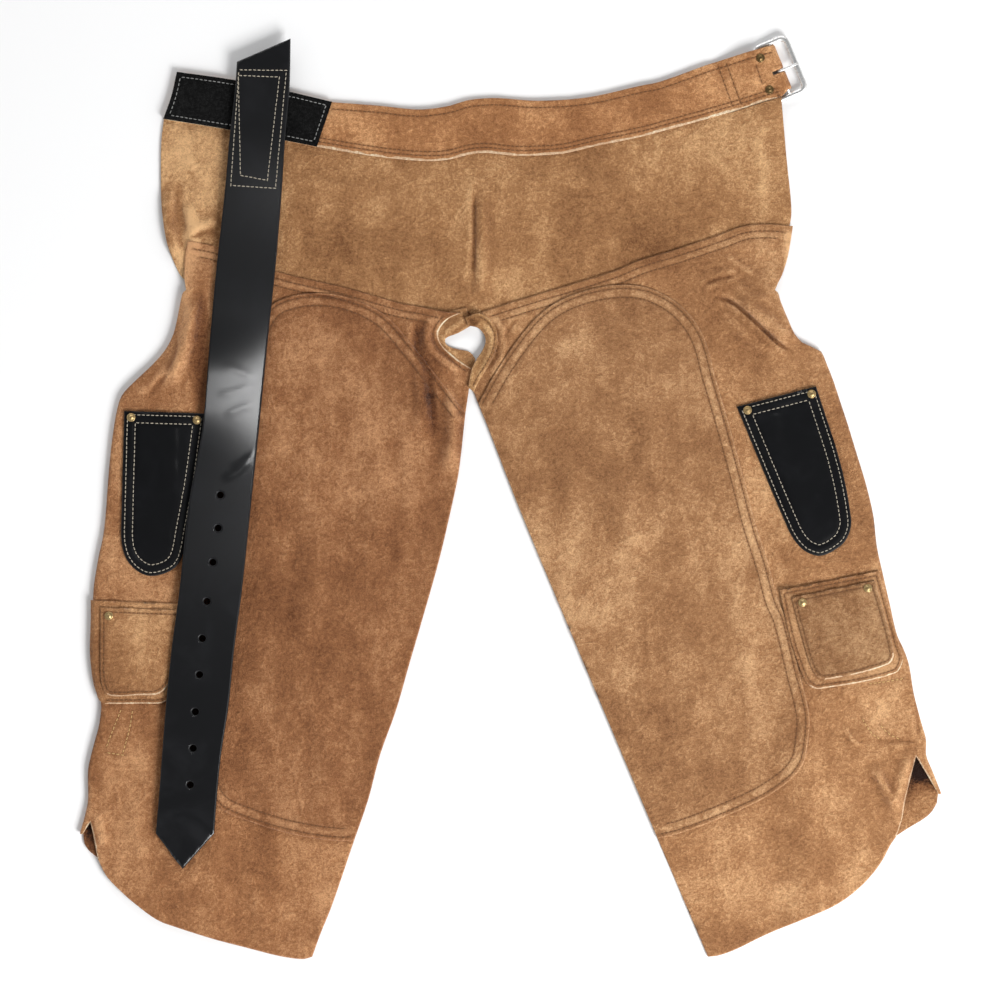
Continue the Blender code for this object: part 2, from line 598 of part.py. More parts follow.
def plan_pieces():
    """Every piece of the cutting plan, with the pieces that it lies on."""
    slot = outline(
        ([bar_point(SLOT_BACK, PRONG_SHIFT - SLOT_HALF), bar_point(SLOT_BACK, PRONG_SHIFT + SLOT_HALF)], BROAD),
        ([bar_point(SLOT_BACK, PRONG_SHIFT + SLOT_HALF),
          bar_point(-LOOP_ARC - SLOT_BACK, PRONG_SHIFT + SLOT_HALF)], BROAD),
        ([bar_point(-LOOP_ARC - SLOT_BACK, PRONG_SHIFT + SLOT_HALF),
          bar_point(-LOOP_ARC - SLOT_BACK, PRONG_SHIFT - SLOT_HALF)], BROAD),
    )
    add_piece("yoke", outline(
        (YOKE_LEFT[::-1], BROAD), (YOKE_LOWER[::-1], BROAD), (YOKE_RIGHT[::-1], BROAD),
        (YOKE_END[::-1], BROAD), ([(198.4, 350.5), (180.1, 395.2)], BROAD), (BAND_UPPER, BROAD),
        (BAND_LEFT_TOP, BROAD), (BAND_LEFT_END, BROAD),
    ), [], rise=yoke_lift)
    add_piece("waistband", outline(
        (BAND_LEFT_LOWER, BROAD), (BAND_LOWER, BROAD), (BAND_END_LOWER, BROAD),
        ([BAND_END_LOWER[-1], bar_point(0.0, LOOP_HALF)], BROAD), *band_turn(),
        (BAND_END_UPPER, BROAD), (BAND_UPPER, BROAD), (BAND_LEFT_TOP, BROAD), (BAND_LEFT_END, BROAD),
    ), ["yoke"], place=place_band, holes=(slot,))
    add_piece("loop_pad", outline(
        (BAND_LEFT_LOWER, BROAD), ([BAND_LOWER[0], BAND_LEFT_TOP[0]], BROAD), (BAND_LEFT_TOP, BROAD),
        (BAND_LEFT_END, BROAD),
    ), ["yoke", "waistband"], thickness=TAPE, material="hook_and_loop")
    add_piece("left_crotch_binding", outline(
        (LEFT_BINDING_HOLE, FINE), ([LEFT_BINDING_HOLE[-1], LEFT_BINDING_UNDER[0]], FINE),
        (LEFT_BINDING_UNDER, FINE), ([LEFT_BINDING_UNDER[-1], LEFT_BINDING_HOLE[0]], FINE),
    ), ["yoke"])
    add_piece("left_leg", leg_loop(
        LEFT, LEFT_FLAP,
        [(LEFT_TOP, BROAD), (LEFT_CROTCH, FINE), (LEFT_GAP, FINE), (LEFT_INNER, BROAD),
         (LEFT_INNER_LOW, BROAD), (LEFT_HEM, BROAD), (LEFT_VENT, MIDDLE)],
        LEFT_SHOULDER,
    ), ["yoke", "left_crotch_binding"], place=LEFT.place, rise=LEFT.lift)
    add_piece("right_leg", leg_loop(
        RIGHT, RIGHT_FLAP,
        [(RIGHT_TOP[::-1], BROAD), (RIGHT_CROTCH[::-1], FINE), (RIGHT_GAP[::-1], FINE),
         (RIGHT_INNER[::-1], BROAD), (RIGHT_INNER_LOW[::-1], BROAD), (RIGHT_HEM[::-1], BROAD),
         (RIGHT_VENT[::-1], MIDDLE)],
        RIGHT_SHOULDER[::-1],
    ), ["yoke"], place=RIGHT.place, rise=RIGHT.lift)
    left_stack = ["yoke", "left_crotch_binding", "left_leg"]
    right_stack = ["yoke", "right_leg"]
    add_piece("left_thigh_patch", outline((LEFT_INNER, BROAD), (LEFT_PATCH_OUTER, BROAD)),
              left_stack, rise=LEFT.lift)
    add_piece("right_thigh_patch", outline((RIGHT_INNER, BROAD), (RIGHT_PATCH_OUTER, BROAD)),
              right_stack, rise=RIGHT.lift)
    add_piece("right_crotch_binding", outline(
        (RIGHT_BINDING_HOLE, FINE), ([RIGHT_BINDING_HOLE[-1], RIGHT_BINDING_OUTER[0]], FINE),
        (RIGHT_BINDING_OUTER, FINE), ([RIGHT_BINDING_OUTER[-1], RIGHT_BINDING_HOLE[0]], FINE),
    ), ["yoke", "left_crotch_binding", "left_leg", "right_leg"])
    add_piece("left_knife_pocket", outline((LEFT_KNIFE_TOP, BROAD), (LEFT_KNIFE_BOWL, MIDDLE)),
              left_stack, rise=LEFT.lift, thickness=BLACK_LEATHER, material="black_leather")
    add_piece("right_knife_pocket", outline((RIGHT_KNIFE_TOP, BROAD), (RIGHT_KNIFE_BOWL, MIDDLE)),
              right_stack, rise=RIGHT.lift, thickness=BLACK_LEATHER, material="black_leather")
    turn = part_of(LEFT.fold_line(0.5), LEFT_POCKET_BOWL[-1][1], LEFT_POCKET_TOP[0][1])
    add_piece("left_suede_pocket", outline(
        ([turn[-1], LEFT_POCKET_TOP[-1]], BROAD), (LEFT_POCKET_BOWL, MIDDLE),
        ([LEFT_POCKET_BOWL[-1], turn[0]], BROAD),
    ) + turn[1:-1], left_stack, place=LEFT.place, rise=LEFT.lift)
    add_piece("left_suede_pocket_top", outline(
        (LEFT_FRONT_POCKET, BROAD), (LEFT_FRONT_POCKET_BOWL, MIDDLE),
    ), left_stack + ["left_suede_pocket"], rise=LEFT.lift)
    right_stack = right_stack + ["right_thigh_patch"]
    add_piece("right_suede_pocket", outline((RIGHT_POCKET_TOP, BROAD), (RIGHT_POCKET_BOWL, MIDDLE)),
              right_stack, rise=RIGHT.lift)
    add_piece("right_suede_pocket_top", outline(
        (RIGHT_FRONT_POCKET, BROAD), (RIGHT_FRONT_POCKET_BOWL, MIDDLE),
    ), right_stack + ["right_suede_pocket"], rise=RIGHT.lift)


def part_of(line, low, high):
    """The stretch of a falling line between two heights, from its low end to its high end."""
    ends = []
    for y in (low, high):
        a, b = next((a, b) for a, b in zip(line, line[1:]) if b.y <= y <= a.y)
        ends.append(a.lerp(b, (a.y - y) / (a.y - b.y)))
    middle = [point for point in reversed(line) if low + FOLD_END < point.y < high - FOLD_END]
    return [ends[0]] + middle + [ends[1]]


def leg_loop(leg, flap, front, shoulder):
    """A leg's cut: its front, the vent, the fold at the tip, the flap and the fold's top."""
    tip = Vector((leg.line(leg.tip), leg.tip))
    vent_top = front[-1][0][-1]
    loop = outline(*front, ([vent_top, tip], MIDDLE))
    loop += [leg.fold_line(part / ARC_PARTS)[-1] for part in range(1, ARC_PARTS + 1)]
    loop += flap_loop(leg, flap)
    loop += smooth_run(shoulder, BROAD)[:-1]
    return loop


def base_height(name):
    """Height of a piece's underside over the floor, as a function of the plan point."""
    piece = PIECES[name]
    found = {}

    def base(point):
        key = (round(point.x, 3), round(point.y, 3))
        if key not in found:
            height = folds_at(point)
            if piece.rise is not None:
                height += piece.rise(point)
            for below in piece.under:
                height += (PIECES[below].thickness + GAP) * covering(point, PIECES[below].loop)
            found[key] = height
        return found[key]

    return base


def cut_plan():
    """Triangulate the plan once, with every outline and fold as an edge of it."""
    lines = []
    for piece in PIECES.values():
        for loop in (piece.loop, *piece.holes):
            lines.append(loop + loop[:1])
    lines += [fold_crest(fold) for fold in FOLDS.values()]
    for leg in (LEFT, RIGHT):
        lines += [leg.fold_line(part / ARC_PARTS) for part in range(ARC_PARTS + 1)]
    lines += [band_line(knot.back) for knot in BAND_FRONT[:4]]
    lines += [band_line(-LOOP_ARC * part / ARC_PARTS) for part in range(1, ARC_PARTS + 1)]
    lines += [band_line(-LOOP_ARC - knot.back) for knot in BAND_RETURN[1:4]]
    points = []
    edges = []
    for line in lines:
        start = len(points)
        points += line
        edges += [(start + index, start + index + 1) for index in range(len(line) - 1)]
    points += lattice(lines)
    corners, _, faces, _, _, _ = delaunay_2d_cdt(points, edges, [], 0, 0.02)
    return corners, faces


def lattice(lines):
    """Points of a triangular lattice on the pieces, away from every line of the plan."""
    spans = [pair for line in lines for pair in zip(line, line[1:])]
    loops = [piece.loop for piece in PIECES.values()]
    xs = [point.x for loop in loops for point in loop]
    ys = [point.y for loop in loops for point in loop]
    rows = int((max(ys) - min(ys)) / (PITCH * math.sqrt(0.75))) + 1
    columns = int((max(xs) - min(xs)) / PITCH) + 2
    kept = []
    for row in range(rows):
        for column in range(columns):
            x = min(xs) + (column + 0.5 * (row % 2)) * PITCH
            point = Vector((x, min(ys) + row * PITCH * math.sqrt(0.75)))
            if not any(inside(point, loop) for loop in loops):
                continue
            if all(distance(point, a, b)[0] > 0.48 * PITCH for a, b in spans):
                kept.append(point)
    return kept


def wall(name, corners, facets, lay, thickness, material):
    """Close facets of the plan into a wall of one thickness."""
    used = sorted({corner for facet in facets for corner in facet})
    number = {corner: index for index, corner in enumerate(used)}
    points = [lay(corners[corner], 0.0) for corner in used]
    points += [lay(corners[corner], thickness) for corner in used]
    faces = []
    sides = set()
    for facet in facets:
        a, b, c = (number[corner] for corner in facet)
        faces.append((c, b, a))
        faces.append((a + len(used), b + len(used), c + len(used)))
        sides.update(((a, b), (b, c), (c, a)))
    for a, b in sorted(sides):
        if (b, a) not in sides:
            faces.append((a, b, b + len(used)))
            faces.append((a, b + len(used), a + len(used)))
    return solid(name, points, faces, material)


def upward(corners, face):
    """The corners of a facet, turned so that it faces up."""
    a, b, c = (corners[index] for index in face)
    return face if (b - a).cross(c - a) > 0.0 else face[::-1]


def cut_and_lay():
    """Cut every piece out of the plan and lay it in place."""
    corners, faces = cut_plan()
    middles = [sum((corners[index] for index in face), Vector((0.0, 0.0))) / 3 for face in faces]
    for name, piece in PIECES.items():
        facets = []
        for face, middle in zip(faces, middles):
            if inside(middle, piece.loop) and not any(inside(middle, hole) for hole in piece.holes):
                facets.append(upward(corners, face))
        base = base_height(name)
        own = 1.0 if piece.place in (LEFT.place, RIGHT.place) else 0.0

        def lay(point, height, place=piece.place, base=base, own=own, name=name):
            if own and not name.endswith("leg"):
                return place_over_fold(place, point, height, base)
            return place(point, height, base)

        wall(name, corners, facets, lay, piece.thickness, piece.material)


def place_over_fold(place, point, height, base):
    """Lay a pocket on a leg's folded edge: it turns with the leg, one layer further out."""
    leg_base = base_height("left_leg")
    lift = base(point) - leg_base(point)
    return place(point, height + lift, leg_base)


def surface():
    """The top of everything laid so far, for finding heights on it."""
    points = []
    faces = []
    for item in bpy.context.collection.objects:
        if item.type != "MESH":
            continue
        start = len(points)
        points += [item.matrix_world @ corner.co / MM for corner in item.data.vertices]
        faces += [[start + corner for corner in face.vertices] for face in item.data.polygons]
    return BVHTree.FromPolygons(points, faces)


def top_at(tree, x, y):
    hit = tree.ray_cast(Vector((x, y, 100.0)), Vector((0.0, 0.0, -1.0)))[0]
    return hit.z if hit else 0.0


def turned(name, profile, sides, place, material):
    """A solid turned about the vertical through a place, from (radius, height) points."""
    points = []
    for radius, height in profile[:-1]:
        for side in range(sides):
            angle = math.tau * side / sides
            points.append(place + Vector((radius * math.cos(angle), radius * math.sin(angle), height)))
    points.append(place + Vector((0.0, 0.0, profile[-1][1])))
    rings = len(profile) - 1
    faces = [tuple(range(sides))[::-1]]
    for ring in range(rings - 1):
        for side in range(sides):
            after = (side + 1) % sides
            low, high = ring * sides, (ring + 1) * sides
            faces.append((low + side, low + after, high + after, high + side))
    for side in range(sides):
        faces.append(((rings - 1) * sides + side, (rings - 1) * sides + (side + 1) % sides, rings * sides))
    return solid(name, points, faces, material)


def make_rivets():
    """Domed rivets, each just clear of the layer that it holds."""
    tree = surface()
    profile = [(RIVET_RADIUS, 0.0), (RIVET_RADIUS, 0.7), (RIVET_RADIUS * 0.72, 1.8), (0.0, RIVET_HEIGHT)]
    for name, (x, y) in RIVETS.items():
        around = [top_at(tree, x, y)]
        for step in range(12):
            angle = math.tau * step / 12
            around.append(top_at(tree, x + RIVET_RADIUS * math.cos(angle), y + RIVET_RADIUS * math.sin(angle)))
        turned(name, profile, 12, Vector((x, y, max(around) + GAP)), "brass")


def make_leg_straps():
    """Short straps sewn behind the legs, folded away between the front and its flap."""
    low = SUEDE + GAP
    for name, strap in LEG_STRAPS.items():
        plan = [(strap.outer, strap.top), (strap.outer, strap.bottom), (strap.inner, strap.bottom),
                (strap.inner, strap.top)]
        if strap.outer > 0:
            plan.reverse()
        points = [(x, y, low) for x, y in plan] + [(x, y, low + SUEDE) for x, y in plan]
        faces = [(3, 2, 1, 0), (4, 5, 6, 7)]
        faces += [(side, (side + 1) % 4, (side + 1) % 4 + 4, side + 4) for side in range(4)]
        solid(name, points, faces, "suede")


def strap_edges(y):
    """Left and right edge of the belt strap at a height of the plan."""
    rows = STRAP
    if y >= rows[0].y:
        return rows[0].left, rows[0].right
    for high, low in zip(rows, rows[1:]):
        if low.y <= y:
            share = (high.y - y) / (high.y - low.y)
            return high.left + share * (low.left - high.left), high.right + share * (low.right - high.right)
    return rows[-1].left, rows[-1].right


def strap_heights():
    """Stations down the strap with the height of its underside, clear of all that it crosses."""
    tree = surface()
    tape_low = min(y for _, y in HOOK_TAPE)
    count = math.ceil((STRAP_TOP[1][1] - STRAP_TIP[1]) / STATION)
    stations = [STRAP_TOP[1][1] - index * STATION for index in range(count + 1)]
    crossed = []
    for y in stations:
        left, right = strap_edges(y)
        highest = 0.0
        for row in range(-5, 6):
            for column in range(int((right - left) / STRAP_SAMPLES) + 3):
                x = left + (column - 1) * STRAP_SAMPLES
                highest = max(highest, top_at(tree, x, y + row * STRAP_SAMPLES))
        crossed.append(highest + (TAPE + 2 * GAP if y > tape_low - STATION else GAP))
    wide = [max(crossed[max(index - 2, 0):index + 3]) for index in range(len(crossed))]
    heights = []
    for index in range(len(wide)):
        near = wide[max(index - 1, 0):index + 2]
        heights.append(sum(near) / len(near))
    return stations, heights


def strap_height(stations, heights, y):
    for index in range(len(stations) - 1):
        if y >= stations[index + 1]:
            share = (stations[index] - y) / STATION
            return heights[index] + share * (heights[index + 1] - heights[index])
    return heights[-1]


def make_strap():
    """The belt strap with its punched holes, and the hook tape under its top end."""
    stations, heights = strap_heights()
    left = [STRAP_TOP[0]] + [(row.left, row.y) for row in STRAP]
    right = [(row.right, row.y) for row in reversed(STRAP)] + [STRAP_TOP[1]]
    loop = outline((left, STATION), ([left[-1], STRAP_TIP], STATION), ([STRAP_TIP, right[0]], STATION),
                   (right, STATION), ([right[-1], left[0]], BROAD * 2))
    holes = []
    for x, y in STRAP_HOLES:
        holes.append([Vector((x + HOLE_RADIUS * math.cos(math.tau * (side + 0.5) / HOLE_SIDES),
                              y + HOLE_RADIUS * math.sin(math.tau * (side + 0.5) / HOLE_SIDES)))
                      for side in range(HOLE_SIDES)])
    tape = [Vector(corner) for corner in HOOK_TAPE]

    def lay_strap(point, height):
        return Vector((point.x, point.y, strap_height(stations, heights, point.y) + height))

    def lay_tape(point, height):
        return lay_strap(point, height - GAP - TAPE)

    for name, edge, cuts, lay, thickness, material in (
        ("belt_strap", loop, holes, lay_strap, STRAP_LEATHER, "black_leather"),
        ("hook_tape", tape, [], lay_tape, TAPE, "hook_and_loop"),
    ):
        points = []
        edges = []
        for line in [edge + edge[:1]] + [cut + cut[:1] for cut in cuts]:
            edges += [(len(points) + index, len(points) + index + 1) for index in range(len(line) - 1)]
            points += line
        for y in stations:
            ends = crossings(edge, y)
            if ends:
                edges.append((len(points), len(points) + 1))
                points += [Vector((ends[0], y)), Vector((ends[-1], y))]
        corners, _, faces, _, _, _ = delaunay_2d_cdt(points, edges, [], 0, 0.02)
        facets = []
        for face in faces:
            middle = sum((corners[index] for index in face), Vector((0.0, 0.0))) / 3
            if inside(middle, edge) and not any(inside(middle, cut) for cut in cuts):
                facets.append(upward(corners, face))
        wall(name, corners, facets, lay, thickness, material)


def crossings(loop, y):
    """Where a level line crosses a loop, from left to right."""
    found = []
    for a, b in zip(loop, loop[1:] + loop[:1]):
        if (a.y > y) != (b.y > y):
            found.append(a.x + (y - a.y) / (b.y - a.y) * (b.x - a.x))
    return sorted(found)


def tube(points, radius, sides, closed):
    """Points and faces of a round bar along a flat path in the (along, across) plane."""
    rings = []
    count = len(points)
    for index, point in enumerate(points):
        if closed:
            before, after = points[index - 1], points[(index + 1) % count]
        else:
            before, after = points[max(index - 1, 0)], points[min(index + 1, count - 1)]
        run = (after - before).normalized()
        side = Vector((run.y, -run.x, 0.0))
        for step in range(sides):
            angle = math.tau * (step + 0.5) / sides
            rings.append(point + radius * (side * math.cos(angle) + Vector((0.0, 0.0, math.sin(angle)))))
    faces = []
    for index in range(count if closed else count - 1):
        for step in range(sides):
            a, b = index * sides + step, index * sides + (step + 1) % sides
            c, d = (index + 1) % count * sides + (step + 1) % sides, (index + 1) % count * sides + step
            faces.append((a, b, c, d))
    if not closed:
        faces.append(tuple(range(sides))[::-1])
        faces.append(tuple(range((count - 1) * sides, count * sides)))
    return rings, faces


def make_buckle():
    """The buckle's frame with its centre bar, and the prong that turns on the bar."""
    axes = Matrix((
        (ALONG.x, ACROSS.x, 0.0, BAR_MIDDLE.x * MM),
        (ALONG.y, ACROSS.y, 0.0, BAR_MIDDLE.y * MM),
        (0.0, 0.0, -1.0, BAR_HEIGHT * MM),
        (0.0, 0.0, 0.0, 1.0),
    )) @ Matrix.Rotation(FRAME_TILT, 4, "Y")
    half_along = FRAME_WIDTH / 2 - FRAME_WIRE
    half_across = FRAME_LENGTH / 2 - FRAME_WIRE
    path = []
    for sign_along, sign_across, start in ((1, 1, 0), (-1, 1, 90), (-1, -1, 180), (1, -1, 270)):
        for step in range(4):
            angle = math.radians(start + 30.0 * step)
            path.append(Vector((
                sign_along * (half_along - FRAME_CORNER) + FRAME_CORNER * math.cos(angle),
                FRAME_SHIFT + sign_across * (half_across - FRAME_CORNER) + FRAME_CORNER * math.sin(angle),
                0.0,
            )))
    points, faces = tube(path, FRAME_WIRE, 8, True)
    frame = solid("buckle_frame", points, flipped(points, faces), "silver", axes)
    ends = [Vector((0.0, FRAME_SHIFT - half_across, 0.0)), Vector((0.0, FRAME_SHIFT + half_across, 0.0))]
    points, faces = tube(ends, BAR_RADIUS, 8, False)
    bar = solid("centre_bar_guide", points, flipped(points, faces), "silver", axes)
    bar.hide_render = True
    bar.display_type = "WIRE"
    union = frame.modifiers.new("centre bar", "BOOLEAN")
    union.operation = "UNION"
    union.solver = "EXACT"
    union.object = bar
    outer = PRONG_INSIDE + PRONG_THICK
    turn = [math.radians(angle) for angle in range(90, 360 + int(PRONG_CURL) + 1, 25)]
    side = [Vector((PRONG_REACH, PRONG_INSIDE + PRONG_RISE)), Vector((PRONG_REACH - 0.6, outer + PRONG_RISE * 0.7))]
    side += [Vector((12.0, outer + PRONG_RISE))]
    side += [Vector((outer * math.cos(angle), outer * math.sin(angle))) for angle in turn]
    side += [Vector((PRONG_INSIDE * math.cos(angle), PRONG_INSIDE * math.sin(angle))) for angle in reversed(turn)]
    side += [Vector((12.0, PRONG_INSIDE + PRONG_RISE))]
    count = len(side)
    points = [Vector((p.x, PRONG_SHIFT - PRONG_WIDTH / 2, -p.y)) for p in side]
    points += [Vector((p.x, PRONG_SHIFT + PRONG_WIDTH / 2, -p.y)) for p in side]
    faces = [tuple(range(count)), tuple(range(count, 2 * count))[::-1]]
    faces += [(index, index + count, (index + 1) % count + count, (index + 1) % count) for index in range(count)]
    solid("buckle_prong", points, flipped(points, faces), "silver", axes)


def settle():
    """Move everything so that the apron's middle is over the origin."""
    bpy.context.view_layer.update()
    for item in bpy.context.collection.objects:
        item.matrix_world = Matrix.Translation(-ORIGIN * MM) @ item.matrix_world


def flipped(points, faces):
    """The faces, all turned round if they enclose a negative volume."""
    volume = 0.0
    for face in faces:
        for index in range(1, len(face) - 1):
            a, b, c = points[face[0]], points[face[index]], points[face[index + 1]]
            volume += a.dot(b.cross(c))
    return faces if volume > 0.0 else [tuple(reversed(face)) for face in faces]


def main():
    clear_scene()
    plan_pieces()
    cut_and_lay()
    make_rivets()
    make_leg_straps()
    make_strap()
    make_buckle()
    settle()


main()
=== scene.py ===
"""Looks of a farrier's split-leg suede apron that lies on a floor with its front up.

The suede pieces are cut from one flat plan, in millimetres: x runs to the apron's right side as
seen, y runs up to the waist, and a folded edge is cut on past its fold line.
"""

import functools
import json
import math
from collections import namedtuple

import bpy
import numpy as np
from bpy.props import FloatProperty, FloatVectorProperty, PointerProperty
from bpy.types import Operator, Panel, PropertyGroup
from mathutils import Matrix, Vector
from mathutils.bvhtree import BVHTree
from mathutils.geometry import delaunay_2d_cdt
from mathutils.kdtree import KDTree

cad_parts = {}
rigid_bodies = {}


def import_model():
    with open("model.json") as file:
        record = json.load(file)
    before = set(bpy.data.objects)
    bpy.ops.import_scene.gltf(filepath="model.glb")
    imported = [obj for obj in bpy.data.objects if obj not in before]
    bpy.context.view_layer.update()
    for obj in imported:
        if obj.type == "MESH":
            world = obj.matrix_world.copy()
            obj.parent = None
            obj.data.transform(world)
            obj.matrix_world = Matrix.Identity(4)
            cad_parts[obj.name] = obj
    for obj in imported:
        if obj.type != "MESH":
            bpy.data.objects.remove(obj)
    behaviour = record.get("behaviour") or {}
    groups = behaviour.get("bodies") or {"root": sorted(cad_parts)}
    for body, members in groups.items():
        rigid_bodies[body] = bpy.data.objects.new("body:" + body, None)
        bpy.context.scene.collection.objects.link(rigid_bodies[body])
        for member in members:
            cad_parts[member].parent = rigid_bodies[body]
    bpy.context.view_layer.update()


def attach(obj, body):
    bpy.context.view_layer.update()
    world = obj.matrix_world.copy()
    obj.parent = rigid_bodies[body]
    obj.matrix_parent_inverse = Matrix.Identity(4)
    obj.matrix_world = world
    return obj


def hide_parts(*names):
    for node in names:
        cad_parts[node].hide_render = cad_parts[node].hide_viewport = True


bl_info = {
    "name": "Farrier Apron",
    "version": (1, 0, 0),
    "blender": (4, 5, 0),
    "location": "3D View > Sidebar > Apron",
    "description": "Dresses a farrier apron in suede, leather, tape, thread and metal",
    "category": "Object",
}

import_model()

MM = 0.001

# The plan's point under the middle of the whole apron
ORIGIN = Vector((0.0, 1.17, 0.0))

# Thicknesses, and the gap that is left between layers
SUEDE = 1.8
BLACK_LEATHER = 2.0
STRAP_LEATHER = 3.0
TAPE = 1.5
GAP = 0.3

# How far beyond its edge a piece still lifts the cloth that lies over it
LAP_SLOPE = 25.0

# The folded outer edge of a leg: inner radius, and the height of the front sheet over its flap
FOLD_INSIDE = 1.2
FOLD_CENTRE = SUEDE + FOLD_INSIDE
FOLD_BASE = FOLD_CENTRE + FOLD_INSIDE
FOLD_ARC = math.pi * (FOLD_INSIDE + SUEDE / 2)
FOLD_REACH = FOLD_INSIDE + SUEDE
# Strips of the fold, the length in which it closes at its top, and the hem below the flap's inner edge
FOLD_PARTS = 6
FOLD_END = 6.0
FLAP_HEM = 19.0
# How the front sheet comes down beyond its flap and above the fold
FLAP_MARGIN = 6.0
FLAP_SLOPE = 36.0
TOP_SLOPE = 30.0

# The buckle, seen along its bar: `along` runs out from the bar, `across` runs down the bar
BAR_MIDDLE = Vector((244.2, 391.8))
BAR_ANGLE = math.radians(22.27)
BAR_HEIGHT = 4.0
BAR_RADIUS = 1.7
LOOP_INSIDE = BAR_HEIGHT - SUEDE
LOOP_ARC = math.pi * (LOOP_INSIDE + SUEDE / 2)
LOOP_HALF = 21.6
FRAME_LENGTH = 57.0
FRAME_WIDTH = 36.4
FRAME_WIRE = 2.1
FRAME_FACE = 2.7
FRAME_CORNER = 6.0
FRAME_SHIFT = 1.5
FRAME_TILT = math.radians(6.2)
PRONG_SHIFT = 3.0
PRONG_WIDTH = 2.3
PRONG_INSIDE = 2.0
PRONG_THICK = 1.4
PRONG_REACH = 17.4
PRONG_RISE = 0.45
PRONG_CURL = 40.0
SLIT_HALF = 1.5
SLOT_BACK = 7.6
# The waistband's return layer, and the yoke's corner over the buckle
RETURN_HALF = 18.0
RETURN_END = 56.0
RETURN_TAPER = 3.0
YOKE_NOTCH = 58.0
YOKE_LIFT = 6.0

# Rivets, the strap's holes, and how finely and stiffly the strap spans what it crosses
RIVET_RADIUS = 4.0
RIVET_HEIGHT = 2.4
HOLE_RADIUS = 3.0
STATION = 8.0
STRAP_STIFFNESS = 60
STRAP_SAMPLES = 4.0
# Lines of the strap's cut: rings beyond a hole's radius, and one inside each side
HOLE_RINGS = (1.8, 3.0)
STRAP_SIDE = 1.6

ALONG = Vector((math.cos(BAR_ANGLE), math.sin(BAR_ANGLE)))
ACROSS = Vector((math.sin(BAR_ANGLE), -math.cos(BAR_ANGLE)))

# Height of the waistband's underside over the floor, by distance behind the buckle's bar
Knot = namedtuple("Knot", "back height")
BAND_FRONT = [Knot(0.0, 6.2), Knot(12.0, 6.95), Knot(22.0, 6.95), Knot(50.0, 2.1), Knot(58.0, 2.1)]
BAND_RETURN = [Knot(0.0, 0.0), Knot(12.5, 4.8), Knot(21.0, 4.8), Knot(50.0, 0.0), Knot(56.0, 0.0)]
YOKE_CORNER = [Knot(0.0, YOKE_LIFT), Knot(24.0, YOKE_LIFT), Knot(55.0, 0.0)]
YOKE_BELOW = [Knot(0.0, 1.0), Knot(34.0, 1.0), Knot(76.0, 0.0)]

# The folded outer edge of each leg, a row for each height: the edge seen, and the flap's depth
Edge = namedtuple("Edge", "y x flap")
LEFT_EDGE = [
    Edge(189.7, -298.0, 0.0), Edge(176.1, -300.8, 10.0), Edge(162.4, -303.5, 19.0),
    Edge(148.8, -307.1, 26.0), Edge(135.1, -314.4, 30.0), Edge(121.5, -326.2, 34.0),
    Edge(107.8, -340.8, 38.0), Edge(94.2, -353.5, 42.0), Edge(80.5, -358.1, 44.0),
    Edge(53.2, -362.6, 47.0), Edge(25.9, -365.4, 50.0), Edge(-28.7, -369.9, 55.0),
    Edge(-56.0, -375.4, 60.0), Edge(-83.3, -379.5, 66.0), Edge(-110.6, -379.9, 72.0),
    Edge(-137.9, -380.8, 78.0), Edge(-165.2, -378.1, 82.0), Edge(-186.1, -372.6, 86.0),
    Edge(-206.1, -374.5, 90.0), Edge(-219.8, -378.1, 93.0), Edge(-233.4, -381.7, 96.0),
    Edge(-247.1, -384.5, 99.0), Edge(-274.4, -384.5, 104.0), Edge(-288.0, -387.2, 106.0),
    Edge(-299.8, -390.5, 108.0), Edge(-305.3, -392.2, 108.0),
]
RIGHT_EDGE = [
    Edge(189.7, 243.4, 0.0), Edge(180.6, 245.2, 9.0), Edge(162.4, 252.5, 19.0),
    Edge(148.8, 258.9, 26.0), Edge(139.7, 268.9, 29.0), Edge(135.1, 281.6, 31.0),
    Edge(121.5, 288.0, 35.0), Edge(107.8, 293.5, 38.0), Edge(94.2, 298.0, 41.0),
    Edge(66.9, 307.1, 45.0), Edge(39.6, 315.3, 48.0), Edge(12.3, 323.5, 51.0),
    Edge(-15.0, 329.9, 54.0), Edge(-42.3, 333.1, 58.0), Edge(-69.6, 339.0, 63.0),
    Edge(-96.9, 345.3, 69.0), Edge(-124.2, 351.7, 75.0), Edge(-137.9, 358.1, 78.0),
    Edge(-151.5, 362.6, 81.0), Edge(-178.8, 367.2, 86.0), Edge(-206.1, 374.5, 92.0),
    Edge(-219.8, 378.1, 95.0), Edge(-233.4, 378.1, 98.0), Edge(-247.1, 383.6, 102.0),
    Edge(-260.7, 389.0, 106.0), Edge(-268.9, 392.2, 109.0),
]

# A fold or crease: points of its crest, its height (below 0 a valley's depth) and half its width
Crease = namedtuple("Crease", "crest height half")
